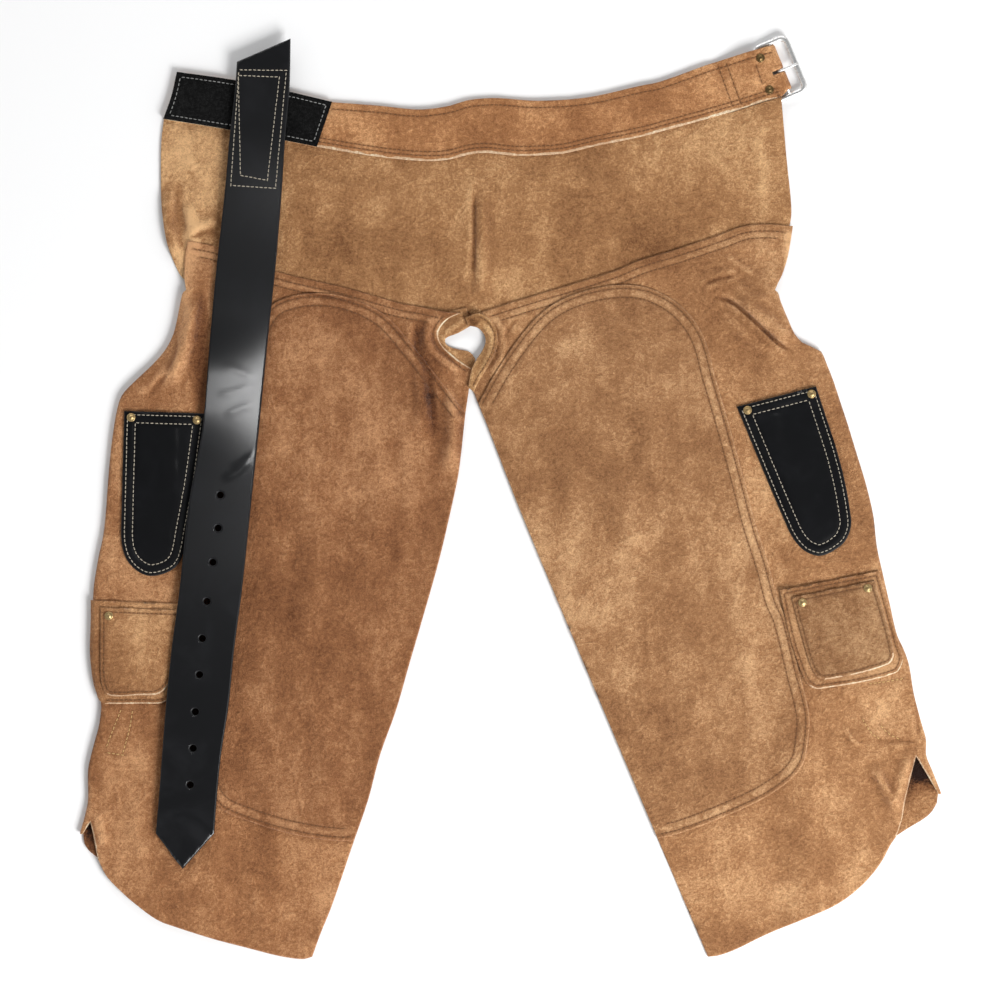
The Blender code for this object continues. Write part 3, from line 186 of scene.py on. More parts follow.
# Raised folds that the solids have too: the yoke's three, the left leg's three, the right leg's four
FOLDS = [
    Crease(((-26.8, 283.5), (-25.9, 226.1), (-27.8, 178.0)), 3.0, 10.0),
    Crease(((-310.8, 285.0), (-311.7, 250.0), (-304.5, 215.2)), 6.0, 10.0),
    Crease(((-293.5, 272.0), (-290.5, 246.0), (-288.5, 222.0)), 4.0, 11.0),
    Crease(((-285.3, 190.0), (-292.4, 148.8), (-314.4, 96.9)), 7.0, 14.0),
    Crease(((-55.1, 103.3), (-51.5, 62.3), (-58.0, 18.7)), 5.0, 11.0),
    Crease(((-84.2, 148.8), (-78.7, 107.8), (-82.4, 53.2)), 3.0, 11.0),
    Crease(((204.3, 182.5), (231.6, 160.6), (258.0, 140.5)), 2.5, 14.0),
    Crease(((172.5, 193.4), (190.6, 199.7), (208.9, 206.1)), 2.5, 10.0),
    Crease(((81.4, 25.9), (104.2, -15.0), (117.8, -56.0)), 3.0, 20.0),
    Crease(((329.0, -239.8), (340.0, -260.7), (347.0, -283.0)), 3.0, 10.0),
]

# Edges of the pieces: each stretch is smooth, and stretches meet in corners
BAND_LEFT_TOP = [(-162.4, 360.8), (-200.7, 369.9), (-252.5, 380.8), (-303.5, 388.1)]
BAND_LEFT_END = [(-303.5, 388.1), (-308.5, 366.0), (-315.8, 345.3)]
BAND_LEFT_LOWER = [(-315.8, 345.3), (-255.3, 335.3), (-203.4, 325.3), (-176.1, 319.9)]
BAND_LOWER = [
    (-176.1, 319.9), (-118.8, 310.8), (-81.0, 307.3), (-58.7, 308.0), (-28.2, 314.5), (6.5, 311.9),
    (46.9, 313.8), (77.4, 320.8), (117.8, 329.0), (139.5, 334.6), (188.8, 348.3), (198.2, 351.1),
]
BAND_UPPER = [
    (180.1, 395.2), (136.6, 379.6), (117.8, 375.6), (69.6, 365.1), (24.6, 362.1), (-13.2, 364.5),
    (-37.3, 362.8), (-58.0, 357.0), (-84.2, 354.1), (-118.8, 357.5), (-162.4, 360.8),
]
BAND_END_LOWER = [(198.2, 351.1), (246.9, 365.7)]
BAND_END_UPPER = [(236.0, 411.8), (214.9, 405.7), (180.1, 395.2)]
YOKE_END = [(198.3, 350.9), (246.4, 365.3)]
YOKE_RIGHT = [
    (245.9, 364.6), (249.8, 326.2), (252.5, 298.9), (255.3, 271.6), (255.5, 256.0), (251.5, 238.0),
]
YOKE_LOWER = [
    (251.5, 238.0), (233.9, 236.0), (212.0, 234.2), (190.6, 227.5), (147.0, 212.9), (117.8, 204.3),
    (96.0, 195.2), (62.3, 184.3), (16.8, 170.6), (-25.0, 161.5), (-58.7, 159.7), (-81.4, 161.5),
    (-100.6, 165.2), (-148.8, 178.8), (-213.4, 194.3), (-246.2, 203.4), (-278.0, 212.0),
    (-296.2, 198.8),
]
YOKE_LEFT = [
    (-296.2, 198.8), (-300.8, 203.4), (-308.0, 218.9), (-313.0, 234.3), (-316.6, 257.1),
    (-318.0, 271.6), (-318.5, 298.9), (-318.0, 326.2), (-315.8, 345.3),
]

LEFT_TOP = [
    (-293.5, 234.3), (-282.6, 232.5), (-266.2, 228.9), (-213.4, 207.0), (-148.8, 191.6),
    (-100.6, 177.9), (-81.4, 174.3), (-58.7, 169.7), (-45.0, 168.8),
]
LEFT_CROTCH = [
    (-45.0, 168.8), (-55.1, 164.3), (-62.3, 157.9), (-66.0, 149.7), (-63.2, 140.6), (-56.0, 133.3),
    (-46.0, 125.1), (-35.5, 118.0),
]
LEFT_GAP = [(-35.5, 118.0), (-37.5, 102.0), (-41.0, 78.0)]
LEFT_INNER = [
    (-41.0, 78.0), (-46.9, 25.9), (-52.3, -1.4), (-65.1, -56.0), (-80.5, -110.6), (-92.4, -151.5),
    (-104.2, -192.5), (-118.8, -233.4), (-129.7, -274.4), (-142.3, -311.0),
]
LEFT_INNER_LOW = [(-142.3, -311.0), (-162.4, -369.9), (-173.4, -397.2), (-180.6, -417.2)]
LEFT_HEM = [
    (-180.6, -417.2), (-188.8, -419.5), (-209.8, -416.8), (-233.4, -410.9), (-257.1, -404.5),
    (-281.6, -397.2), (-302.6, -390.4), (-320.8, -383.6), (-339.9, -369.9), (-355.4, -356.3),
    (-368.1, -342.6), (-375.4, -327.5),
]
LEFT_VENT = [(-375.4, -327.5), (-379.0, -308.9), (-382.2, -294.0)]
LEFT_FLAP = [
    (-388.0, -314.0), (-384.5, -319.9), (-376.3, -326.7), (-350.8, -344.4),
    (-314.4, -360.8), (-284.0, -366.0),
]
LEFT_SHOULDER = [(-296.8, 200.0), (-296.4, 220.0), (-293.5, 234.3)]

RIGHT_TOP = [
    (-26.5, 169.7), (16.8, 183.4), (62.3, 197.0), (96.0, 207.9), (117.8, 217.0), (147.0, 225.7),
    (190.6, 240.2), (212.0, 248.0), (233.9, 249.8), (257.0, 248.0),
]
RIGHT_SHOULDER = [(257.0, 248.0), (254.3, 230.7), (251.6, 217.0), (247.1, 203.4), (244.0, 197.5)]
RIGHT_FLAP = [
    (388.2, -277.0), (383.3, -285.3), (375.9, -291.7), (362.4, -299.8),
    (349.3, -308.3), (327.1, -321.7), (299.8, -336.2), (284.0, -341.0),
]
RIGHT_VENT = [(368.6, -234.3), (362.4, -258.9), (358.7, -274.9), (356.1, -290.7), (350.8, -307.1)]
RIGHT_HEM = [
    (350.8, -307.1), (345.3, -315.3), (338.1, -329.0), (328.1, -342.6), (314.4, -356.3),
    (295.3, -369.9), (264.4, -383.6), (232.5, -397.2), (204.3, -410.9), (188.8, -416.3),
    (179.7, -417.2),
]
RIGHT_INNER_LOW = [(179.7, -417.2), (133.8, -309.5)]
RIGHT_INNER = [(133.8, -309.5), (38.7, -83.3), (5.0, -1.4), (-21.4, 66.9), (-29.5, 86.5)]
RIGHT_GAP = [(-29.5, 86.5), (-34.5, 99.5)]
RIGHT_CROTCH = [
    (-34.5, 99.5), (-27.0, 113.0), (-19.0, 126.0), (-16.0, 139.7), (-18.5, 153.0), (-26.5, 169.7),
]

RIGHT_PATCH_OUTER = [
    (-29.5, 86.5), (-12.6, 116.5), (10.0, 149.1), (29.6, 170.2), (50.5, 183.0), (77.8, 191.6),
    (102.0, 194.6), (126.0, 191.6), (150.3, 179.3), (167.0, 162.4), (177.5, 143.3), (186.6, 109.7),
    (197.0, 74.2), (211.6, 20.8), (223.4, -24.6), (234.9, -60.5), (243.4, -92.4), (250.7, -109.3),
    (262.5, -157.9), (271.5, -197.0), (270.1, -223.0), (266.4, -239.8), (255.3, -255.3),
    (229.2, -273.5), (192.1, -290.4), (155.0, -304.4), (133.8, -309.5),
]
LEFT_PATCH_OUTER = [
    (-142.3, -311.0), (-155.2, -311.7), (-182.5, -308.5), (-215.2, -301.2), (-250.7, -288.9),
    (-265.3, -280.7), (-275.0, -267.0), (-279.0, -242.5), (-280.0, -183.4), (-268.0, -92.4),
    (-256.0, 0.0), (-246.0, 70.0), (-237.0, 130.0), (-228.0, 162.0), (-213.4, 179.0),
    (-180.6, 187.0), (-146.1, 182.5), (-114.2, 167.0), (-88.0, 138.0), (-62.0, 105.0),
    (-41.0, 78.0),
]
LEFT_KNIFE_TOP = [(-351.1, 79.6), (-277.1, 77.4)]
LEFT_KNIFE_BOWL = [
    (-277.1, 77.4), (-285.3, 16.8), (-293.5, -28.7), (-298.9, -54.0), (-308.0, -65.1),
    (-326.4, -70.5), (-339.0, -66.0), (-349.0, -55.1), (-353.5, -40.0), (-353.7, -19.6),
    (-351.1, 79.6),
]
RIGHT_KNIFE_TOP = [(205.8, 83.6), (277.6, 102.0)]
RIGHT_KNIFE_BOWL = [
    (277.6, 102.0), (300.2, 30.7), (309.6, -18.7), (308.0, -31.0), (300.8, -42.3), (282.6, -52.1),
    (268.9, -48.7), (259.5, -40.0), (252.0, -27.0), (205.8, 83.6),
]
LEFT_POCKET_TOP = [(-379.5, -92.4), (-291.7, -96.0)]
LEFT_POCKET_BOWL = [
    (-291.7, -96.0), (-297.1, -147.0), (-304.4, -174.0), (-315.0, -185.2), (-334.0, -186.3),
    (-369.0, -186.6),
]
LEFT_FRONT_POCKET = [(-372.5, -98.7), (-298.5, -101.5)]
LEFT_FRONT_POCKET_BOWL = [
    (-298.5, -101.5), (-303.5, -146.0), (-310.0, -168.0), (-320.0, -177.5), (-338.0, -178.5),
    (-364.0, -179.0), (-370.5, -172.0), (-372.5, -160.0), (-372.5, -98.7),
]
RIGHT_POCKET_TOP = [(244.3, -83.3), (334.6, -66.0)]
RIGHT_POCKET_BOWL = [
    (334.6, -66.0), (353.2, -133.3), (356.6, -146.1), (349.3, -158.8), (280.4, -173.1),
    (271.5, -170.0), (265.0, -160.3), (254.3, -128.8), (244.3, -83.3),
]
RIGHT_FRONT_POCKET = [(254.8, -90.0), (330.6, -74.5)]
RIGHT_FRONT_POCKET_BOWL = [
    (330.6, -74.5), (348.0, -140.0), (342.9, -150.6), (285.5, -164.3), (275.0, -158.0),
    (266.0, -132.0), (254.8, -90.0),
]
LEFT_BINDING_HOLE = [
    (-36.5, 157.0), (-47.8, 150.6), (-58.7, 146.1), (-59.6, 142.4), (-56.9, 138.8), (-47.8, 136.0),
    (-36.9, 133.3), (-32.0, 127.0),
]
LEFT_BINDING_UNDER = [
    (-34.5, 111.0), (-50.0, 118.0), (-64.0, 129.0), (-73.5, 141.0), (-74.0, 153.0), (-66.0, 163.5),
    (-52.0, 171.0), (-40.0, 174.0),
]
RIGHT_BINDING_HOLE = [
    (-38.6, 101.0), (-37.3, 108.5), (-35.6, 117.0), (-31.0, 126.5), (-25.5, 135.1), (-22.8, 143.3),
    (-24.1, 149.0), (-29.5, 155.0), (-39.0, 157.4),
]
RIGHT_BINDING_OUTER = [
    (-41.5, 164.5), (-28.7, 168.5), (-20.5, 164.3), (-14.0, 156.0), (-11.5, 146.1), (-13.5, 134.0),
    (-19.5, 121.5), (-27.5, 108.7), (-33.5, 97.0),
]

# The belt strap, a row for each height: its left and right edge
Width = namedtuple("Width", "y left right")
STRAP = [
    Width(371.7, -250.2, -200.7), Width(325.3, -255.5, -204.7), Width(281.6, -259.4, -207.6),
    Width(207.9, -267.5, -213.8), Width(147.0, -273.0, -220.2), Width(63.2, -279.8, -228.5),
    Width(-1.4, -291.7, -235.2), Width(-85.1, -300.8, -243.9), Width(-137.0, -307.6, -250.7),
    Width(-186.1, -312.6, -255.6), Width(-234.3, -316.5, -262.9), Width(-267.1, -319.0, -266.2),
    Width(-304.0, -322.2, -269.0),
]
STRAP_TOP = [(-248.5, 396.6), (-199.7, 417.7)]
STRAP_TIP = (-297.8, -336.4)
STRAP_HOLES = [
    (-263.4, 3.2), (-265.4, -26.8), (-270.1, -57.8), (-275.3, -93.3), (-279.5, -126.9),
    (-282.1, -159.7), (-285.9, -193.4), (-288.0, -226.6), (-290.7, -259.8),
]
HOOK_TAPE = [(-253.5, 286.0), (-213.0, 284.5), (-204.0, 388.5), (-246.3, 388.5)]

# Leg straps inside the fold: outer and inner end, and upper and lower edge
Strap = namedtuple("Strap", "outer inner top bottom")
LEG_STRAPS = {
    "left_leg_strap": Strap(-366.0, -302.0, -190.0, -215.0),
    "right_leg_strap": Strap(364.0, 302.0, -185.0, -210.0),
}

RIVETS = {
    "waist_rivet_upper": (227.0, 400.1), "waist_rivet_lower": (235.2, 371.3),
    "left_knife_rivet_outer": (-344.6, 73.7), "left_knife_rivet_inner": (-285.0, 71.3),
    "right_knife_rivet_inner": (215.6, 80.3), "right_knife_rivet_outer": (273.5, 94.9),
    "left_pocket_rivet": (-364.6, -106.5),
    "right_pocket_rivet_inner": (265.0, -94.5), "right_pocket_rivet_outer": (324.4, -81.5),
}

# Finer creases than the solids have
CREASES = [
    # the yoke's middle, its left side and its right end
    Crease(((-33.5, 290.0), (-33.0, 240.0), (-34.0, 190.0)), -2.2, 4.0),
    Crease(((-33.0, 300.0), (-36.0, 262.0), (-34.0, 225.0)), 0.9, 6.0),
    Crease(((-302.0, 290.0), (-300.5, 262.0), (-296.0, 236.0)), -2.4, 6.0),
    Crease(((-293.0, 243.0), (-279.0, 249.0), (-265.0, 253.0)), 2.6, 7.0),
    Crease(((-296.0, 236.0), (-281.0, 240.5), (-266.0, 243.0)), -1.6, 4.0),
    Crease(((-301.0, 310.0), (-285.0, 300.0), (-273.0, 281.0)), 1.2, 9.0),
    Crease(((-190.0, 292.0), (-150.0, 281.0), (-120.0, 284.0)), 1.0, 10.0),
    Crease(((60.0, 300.0), (90.0, 282.0), (130.0, 288.0)), 0.9, 11.0),
    Crease(((180.0, 318.0), (196.0, 296.0), (200.0, 270.0)), 1.1, 9.0),
    Crease(((222.0, 335.0), (230.0, 300.0), (228.0, 268.0)), 1.0, 9.0),
    # broad mounds that the narrow valleys cut into
    Crease(((-92.0, 172.0), (-86.0, 120.0), (-78.0, 50.0)), 3.0, 36.0),
    Crease(((170.0, 215.0), (222.0, 176.0), (268.0, 140.0)), 3.0, 36.0),
    Crease(((-24.0, 300.0), (-26.0, 240.0), (-30.0, 180.0)), 1.6, 34.0),
    Crease(((0.0, 170.0), (4.0, 140.0), (-8.0, 100.0)), 1.8, 30.0),
    # beside the belt strap on the left thigh
    Crease(((-279.0, 190.0), (-283.0, 150.0), (-291.0, 104.0)), -3.0, 8.0),
    Crease(((-300.0, 150.0), (-311.0, 118.0), (-330.0, 92.0)), -1.3, 5.0),
    Crease(((-307.0, 120.0), (-322.0, 108.0), (-340.0, 92.0)), 1.4, 7.0),
    Crease(((-205.0, 199.0), (-180.0, 190.0), (-150.0, 184.0)), 1.0, 5.0),
    Crease(((-200.0, 194.0), (-170.0, 184.0), (-130.0, 173.0)), -1.0, 3.5),
    # round the crotch opening
    Crease(((-70.5, 170.0), (-75.0, 156.0), (-75.5, 143.0), (-68.0, 131.0), (-52.0, 119.0), (-41.0, 112.0)),
           2.6, 6.0),
    Crease(((-82.0, 164.0), (-85.5, 150.0), (-84.0, 136.0), (-78.0, 122.0), (-74.0, 100.0), (-71.0, 70.0)),
           -3.6, 7.0),
    Crease(((-66.0, 112.0), (-57.0, 98.0), (-52.0, 78.0)), 1.4, 7.0),
    Crease(((-72.0, 92.0), (-68.0, 60.0), (-72.0, 20.0)), -1.6, 7.0),
    Crease(((-20.0, 168.0), (-9.0, 156.0), (-6.5, 143.0), (-10.0, 126.0), (-20.0, 108.0)), 2.4, 6.0),
    Crease(((-29.0, 162.0), (-19.0, 152.0), (-17.0, 140.0), (-22.0, 124.0), (-30.0, 108.0)), 2.0, 5.0),
    Crease(((-38.0, 163.0), (-52.0, 156.0), (-60.0, 146.0), (-54.0, 134.0), (-42.0, 126.0)), 1.6, 5.0),
    Crease(((-42.0, 170.0), (-36.0, 160.0), (-31.0, 156.0)), -2.4, 4.0),
    Crease(((-120.0, 160.0), (-112.0, 148.0), (-92.0, 141.0)), 1.2, 6.0),
    Crease(((-97.0, 168.0), (-90.0, 150.0), (-94.0, 120.0)), 1.2, 7.0),
    Crease(((10.0, 168.0), (-4.0, 150.0), (-12.0, 122.0)), -1.0, 4.0),
    # the right hip
    Crease(((180.0, 183.5), (200.0, 179.0), (215.2, 167.0), (229.8, 153.3), (245.2, 139.7), (259.0, 132.4)),
           -3.0, 3.6),
    Crease(((206.0, 184.0), (221.0, 172.0), (236.0, 158.0), (262.0, 139.0)), 1.6, 8.0),
    Crease(((203.0, 197.0), (222.0, 182.0), (241.0, 176.0)), 1.4, 8.0),
    Crease(((173.0, 194.0), (190.0, 200.0), (208.0, 203.0)), -2.4, 4.5),
    Crease(((196.0, 225.0), (205.0, 214.0), (224.0, 203.0)), 1.2, 6.0),
    Crease(((190.0, 171.0), (214.0, 149.0), (246.0, 124.0)), 1.4, 8.0),
    # soft hollows and rolls of both legs
    Crease(((-140.0, 110.0), (-120.0, 20.0), (-128.0, -70.0)), 1.6, 22.0),
    Crease(((-190.0, 60.0), (-176.0, -40.0), (-186.0, -140.0)), 1.5, 22.0),
    Crease(((-98.0, 70.0), (-90.0, 20.0), (-96.0, -30.0)), 1.4, 14.0),
    Crease(((-200.0, -150.0), (-168.0, -220.0), (-172.0, -300.0)), 1.4, 18.0),
    Crease(((20.0, 90.0), (48.0, 40.0), (60.0, -20.0)), 1.3, 18.0),
    Crease(((110.0, 120.0), (128.0, 60.0), (126.0, 0.0)), 1.3, 20.0),
    Crease(((140.0, -120.0), (165.0, -170.0), (170.0, -220.0)), 1.4, 18.0),
    Crease(((205.0, -60.0), (214.0, -130.0), (220.0, -200.0)), 1.2, 16.0),
    Crease(((300.0, 60.0), (322.0, 0.0), (330.0, -60.0)), 1.2, 10.0),
    Crease(((-330.0, -250.0), (-340.0, -290.0), (-330.0, -340.0)), 1.2, 14.0),
    Crease(((250.0, -320.0), (275.0, -345.0), (290.0, -360.0)), 1.2, 16.0),
    Crease(((-250.0, -330.0), (-230.0, -360.0), (-222.0, -400.0)), 1.2, 14.0),
    # under the straps sewn behind, and the lower right streaks
    Crease(((302.0, -206.0), (308.0, -216.0), (318.0, -226.0)), 1.5, 4.0),
    Crease(((328.0, -220.5), (354.0, -220.0), (373.0, -221.0)), -1.0, 3.0),
    Crease(((368.0, -178.0), (370.0, -200.0), (371.0, -222.0)), -1.4, 3.0),
    Crease(((327.0, -243.0), (338.0, -258.0), (350.0, -281.0)), 1.5, 5.0),
    # the lips of the open vents
    Crease(((362.0, -226.0), (360.0, -240.0), (352.0, -268.0), (348.0, -292.0)), 3.4, 9.0),
    Crease(((-376.0, -283.0), (-373.0, -298.0), (-369.0, -318.0)), 2.6, 8.0),
]
STRAP_CREASES = [
    Crease(((-262.0, 17.0), (-248.0, 24.0), (-234.0, 36.0)), 0.26, 5.0),
    Crease(((-254.0, 29.0), (-243.0, 33.0), (-230.0, 43.0)), 0.2, 4.0),
    Crease(((-262.0, 122.0), (-246.0, 116.0), (-231.0, 108.0)), 0.07, 4.5),
    Crease(((-266.0, 94.0), (-250.0, 97.0), (-235.0, 103.0)), 0.06, 4.0),
    Crease(((-260.0, 74.0), (-245.0, 82.0), (-231.0, 86.0)), 0.07, 4.5),
]

# Where the strap turns up towards its left edge: its upper and lower end, and how steeply
TWIST = ((168.0, 112.0), (84.0, 14.0), 0.032)

# Soft places where the suede is paler (above 0) or darker (below 0): centre, half width and half height. Some
# are the suede's own tone, and some are painted light and shade.
Place = namedtuple("Place", "x y wide tall amount")
# Painted among them: the strap's shadow beside its left edge, shade in the valley and hollows round the
# crotch, in the yoke's left fold and in creases of the yoke and the right hip, and a highlight on the lit
# turned strip at the right shoulder.
TONE_AND_LIGHT_PLACES = [
    Place(-294.0, 305.0, 32.0, 60.0, 0.92), Place(190.0, 378.0, 60.0, 20.0, 0.22),
    Place(-268.0, 292.0, 18.0, 40.0, 0.25), Place(-310.0, 246.0, 7.0, 36.0, -1.3),
    Place(-283.0, 248.0, 12.0, 7.0, 0.5), Place(212.0, 300.0, 46.0, 46.0, 0.15),
    Place(232.0, 166.0, 26.0, 30.0, 0.3), Place(-27.0, 235.0, 7.0, 60.0, -0.3),
    Place(80.0, 240.0, 120.0, 30.0, -0.2), Place(-130.0, 235.0, 70.0, 40.0, -0.15),
    Place(-82.0, 140.0, 5.0, 20.0, -1.5), Place(-76.0, 104.0, 6.0, 34.0, -1.0),
    Place(-69.0, 60.0, 7.0, 60.0, -0.45), Place(-66.0, 152.0, 4.0, 14.0, 0.4),
    Place(-34.0, 160.5, 5.0, 4.5, -1.9), Place(-283.0, 140.0, 7.0, 60.0, -1.6),
    Place(-300.0, 200.0, 17.0, 50.0, 0.95), Place(-306.0, 130.0, 12.0, 40.0, 0.3),
    Place(252.5, 229.0, 4.5, 18.0, 0.9), Place(262.0, 165.0, 34.0, 30.0, 0.3),
    Place(-53.0, 60.0, 6.0, 60.0, 0.25), Place(236.0, 148.0, 22.0, 5.0, -0.3),
    Place(-372.0, 10.0, 9.0, 90.0, -0.3), Place(-210.0, -400.0, 90.0, 14.0, -0.25),
    Place(250.0, -395.0, 90.0, 16.0, -0.2), Place(335.0, -140.0, 20.0, 60.0, 0.1),
    Place(-150.0, 30.0, 45.0, 70.0, 0.12), Place(90.0, -60.0, 45.0, 60.0, 0.12),
    Place(-338.0, -120.0, 28.0, 34.0, 0.3), Place(300.0, -110.0, 30.0, 30.0, 0.18),
    Place(335.0, -200.0, 18.0, 20.0, 0.25), Place(150.0, -240.0, 60.0, 45.0, -0.12),
]
# Painted shade in the same columns on the back of a flap, where an open vent shows it: the dark mouth of each
# vent.
VENT_PAINTED_SHADE = [
    Place(369.5, -245.0, 7.5, 15.0, -2.6), Place(377.0, -253.0, 6.0, 8.0, -1.9),
    Place(384.0, -261.0, 5.0, 6.0, -1.2), Place(362.0, -262.0, 6.0, 14.0, -1.0),
    Place(-383.5, -300.0, 6.0, 12.0, -2.2), Place(-381.0, -318.0, 6.0, 14.0, -0.9),
]

# Rows of stitches: the edge that a row follows and how far inside it, or its own path, and its thread
Row = namedtuple("Row", "path inset thread")


def rows(path, thread, *insets):
    return [Row(path, inset, thread) for inset in insets or (None,)]


SEAMS = {
    "waistband": [
        *rows(BAND_LOWER, "brown", 4.8, 8.4), *rows(BAND_UPPER, "brown", 6.4),
        *rows(BAND_END_LOWER, "brown", 4.8, 8.4), *rows(BAND_END_UPPER, "brown", 6.4),
        *rows([(188.8, 393.6), (201.6, 358.5)], "brown"), *rows([(196.1, 396.3), (209.8, 358.9)], "brown"),
        *rows([(223.0, 394.0), (228.6, 377.2)], "brown"),
    ],
    "loop_pad": [
        Row(path, 4.2, "grey")
        for path in (BAND_LEFT_LOWER, [BAND_LOWER[0], BAND_LEFT_TOP[0]], BAND_LEFT_TOP, BAND_LEFT_END)
    ],
    "left_leg": [
        *rows(LEFT_TOP, "brown", 6.4, 12.7), *rows(LEFT_CROTCH, "brown", 4.4),
        *rows([(-354.0, -191.5), (-360.5, -208.0), (-367.5, -226.0)], "gold"),
        *rows([(-343.5, -192.5), (-347.0, -212.0), (-352.6, -231.6)], "gold"),
        *rows([(-367.2, -231.0), (-351.0, -233.4)], "gold"),
    ],
    "right_leg": [
        *rows(RIGHT_TOP, "brown", 6.4, 12.7),
        *rows([(325.3, -168.5), (341.0, -166.5), (357.2, -163.5)], "gold"),
        *rows([(319.5, -200.0), (328.0, -213.0), (336.0, -219.0)], "gold"),
        *rows([(336.0, -206.0), (344.0, -214.0), (354.0, -219.0)], "gold"),
    ],
    "left_thigh_patch": rows(LEFT_PATCH_OUTER, "brown", 3.6, 11.6),
    "right_thigh_patch": rows(RIGHT_PATCH_OUTER, "brown", 3.6, 11.6),
    "right_crotch_binding": rows(RIGHT_BINDING_OUTER[1:], "brown", 3.0),
    "left_knife_pocket": rows(LEFT_KNIFE_TOP, "pale", 3.2, 10.4) + rows(LEFT_KNIFE_BOWL, "pale", 3.2, 10.4),
    "right_knife_pocket": (
        rows(RIGHT_KNIFE_TOP, "pale", 3.2, 10.4) + rows(RIGHT_KNIFE_BOWL, "pale", 3.2, 10.4)),
    "left_suede_pocket": rows(LEFT_POCKET_BOWL, "brown", 3.4),
    "left_suede_pocket_top": (
        rows(LEFT_FRONT_POCKET, "brown", 4.0) + rows(LEFT_FRONT_POCKET_BOWL, "brown", 3.4)),
    "right_suede_pocket": rows(RIGHT_POCKET_TOP, "brown", 3.6) + rows(RIGHT_POCKET_BOWL, "brown", 3.4),
    "right_suede_pocket_top": (
        rows(RIGHT_FRONT_POCKET, "brown", 4.0) + rows(RIGHT_FRONT_POCKET_BOWL, "brown", 3.4)),
}
# The two closed rows on the belt strap's end
STRAP_ROWS = [
    [(-246.5, 389.0), (-203.5, 388.5), (-213.4, 281.6), (-254.0, 284.2), (-246.5, 389.0)],
    [(-247.0, 383.9), (-209.8, 382.5), (-220.7, 288.9), (-245.2, 293.3), (-247.0, 383.9)],
]
# How wide a seam's mark and groove are, and how a stitch lies: place along it, girth and rise of the thread
SEAM_WIDTH = 1.15
SEAM_REACH = 4.0
ROW_STEP = 1.5
STITCH_SIDES = 6
Ring = namedtuple("Ring", "share girth rise")
STITCH = [
    Ring(-1.0, 0.25, -0.5), Ring(-0.8, 0.8, 0.15), Ring(-0.3, 1.0, 0.55),
    Ring(0.3, 1.0, 0.55), Ring(0.8, 0.8, 0.15), Ring(1.0, 0.25, -0.5),
]

# Edges in the face's own colour: turned edges, such as the legs' tops and the pockets' top hems, and the
# pockets' left sides, cut edges given painted shade on the side away from the key light; and edges cut pale,
# the pale raw suede kept to the sides that face the key light, as painted light
TURNED_AND_SHADED_EDGES = {
    "waistband": [BAND_UPPER, BAND_LEFT_TOP, BAND_END_UPPER],
    "left_leg": [LEFT_TOP, LEFT_SHOULDER],
    "right_leg": [RIGHT_TOP, RIGHT_SHOULDER],
    "left_suede_pocket": [LEFT_POCKET_TOP],
    "left_suede_pocket_top": [LEFT_FRONT_POCKET, LEFT_FRONT_POCKET_BOWL[6:]],
    "right_suede_pocket": [RIGHT_POCKET_TOP, RIGHT_POCKET_BOWL[6:]],
    "right_suede_pocket_top": [RIGHT_FRONT_POCKET, RIGHT_FRONT_POCKET_BOWL[4:]],
}
PALE_LIT_EDGES = {
    "waistband": [BAND_LOWER, BAND_LEFT_LOWER, BAND_END_LOWER],
    "left_leg": [LEFT_VENT, LEFT_CROTCH, [(-382.2, -294.0), (-389.2, -305.3)]],
    "right_leg": [RIGHT_VENT, [(368.6, -234.3), (389.2, -268.9)]],
    "left_suede_pocket": [LEFT_POCKET_BOWL[2:]],
    "left_suede_pocket_top": [LEFT_FRONT_POCKET_BOWL[2:6]],
    "right_suede_pocket": [RIGHT_POCKET_BOWL[2:6]],
    "right_suede_pocket_top": [RIGHT_FRONT_POCKET_BOWL[1:4]],
}

# Ridges between two rows of stitches, given a painted highlight: the edge that they follow, and how far
# inside it
RIDGE_HIGHLIGHTS = {
    "left_thigh_patch": (LEFT_PATCH_OUTER, 7.6), "right_thigh_patch": (RIGHT_PATCH_OUTER, 7.6),
    "left_leg": (LEFT_TOP, 9.6), "right_leg": (RIGHT_TOP, 9.6),
    "left_suede_pocket": (LEFT_POCKET_BOWL, 6.8), "right_suede_pocket": (RIGHT_POCKET_BOWL, 6.8),
}

# How finely the pieces are cut: edges, tight curves, the middle, and the widest crease with its own lines
EDGE_STEP = 4.0
CURVE_STEP = 2.6
LATTICE = 3.3
NARROW = 8.5
# How near to a rim a crease's lines and a seam's side lines may come
CREASE_CLEAR = 2.4
GROOVE_SIDE = 1.4
GROOVE_CLEAR = 1.9

# Soft relief of the suede: length of the humps and their share of its height, coarse ones first
RELIEF = ((66.0, 0.8), (27.0, 0.5), (12.0, 0.22), (6.0, 0.08))


class ApronSizes(PropertyGroup):
    raw_edge: FloatProperty(
        name="Raw Edge", description="Width of the pale cut edge seen from above",
        default=1.3 * MM, min=0.0, max=3 * MM, unit="LENGTH")
    stitch_length: FloatProperty(
        name="Stitch Length", description="Length of one stitch",
        default=3.1 * MM, min=1 * MM, max=8 * MM, unit="LENGTH")
    stitch_pitch: FloatProperty(
        name="Stitch Pitch", description="Distance from one stitch to the next",
        default=4.0 * MM, min=1.5 * MM, max=10 * MM, unit="LENGTH")
    thread_radius: FloatProperty(
        name="Thread Radius", description="Half the thickness of the sewing thread",
        default=0.42 * MM, min=0.1 * MM, max=1 * MM, unit="LENGTH")
    groove: FloatProperty(
        name="Seam Groove", description="How deep a row of stitches pulls into the suede",
        default=0.45 * MM, min=0.0, max=1.5 * MM, unit="LENGTH")
    relief: FloatProperty(
        name="Relief", description="Height of the soft humps in the suede",
        default=1.0 * MM, min=0.0, max=2 * MM, unit="LENGTH")
    camera_height: FloatProperty(
        name="Camera Height", description="Height of the camera over the floor",
        default=3.004, min=1.0, max=10.0, unit="LENGTH")


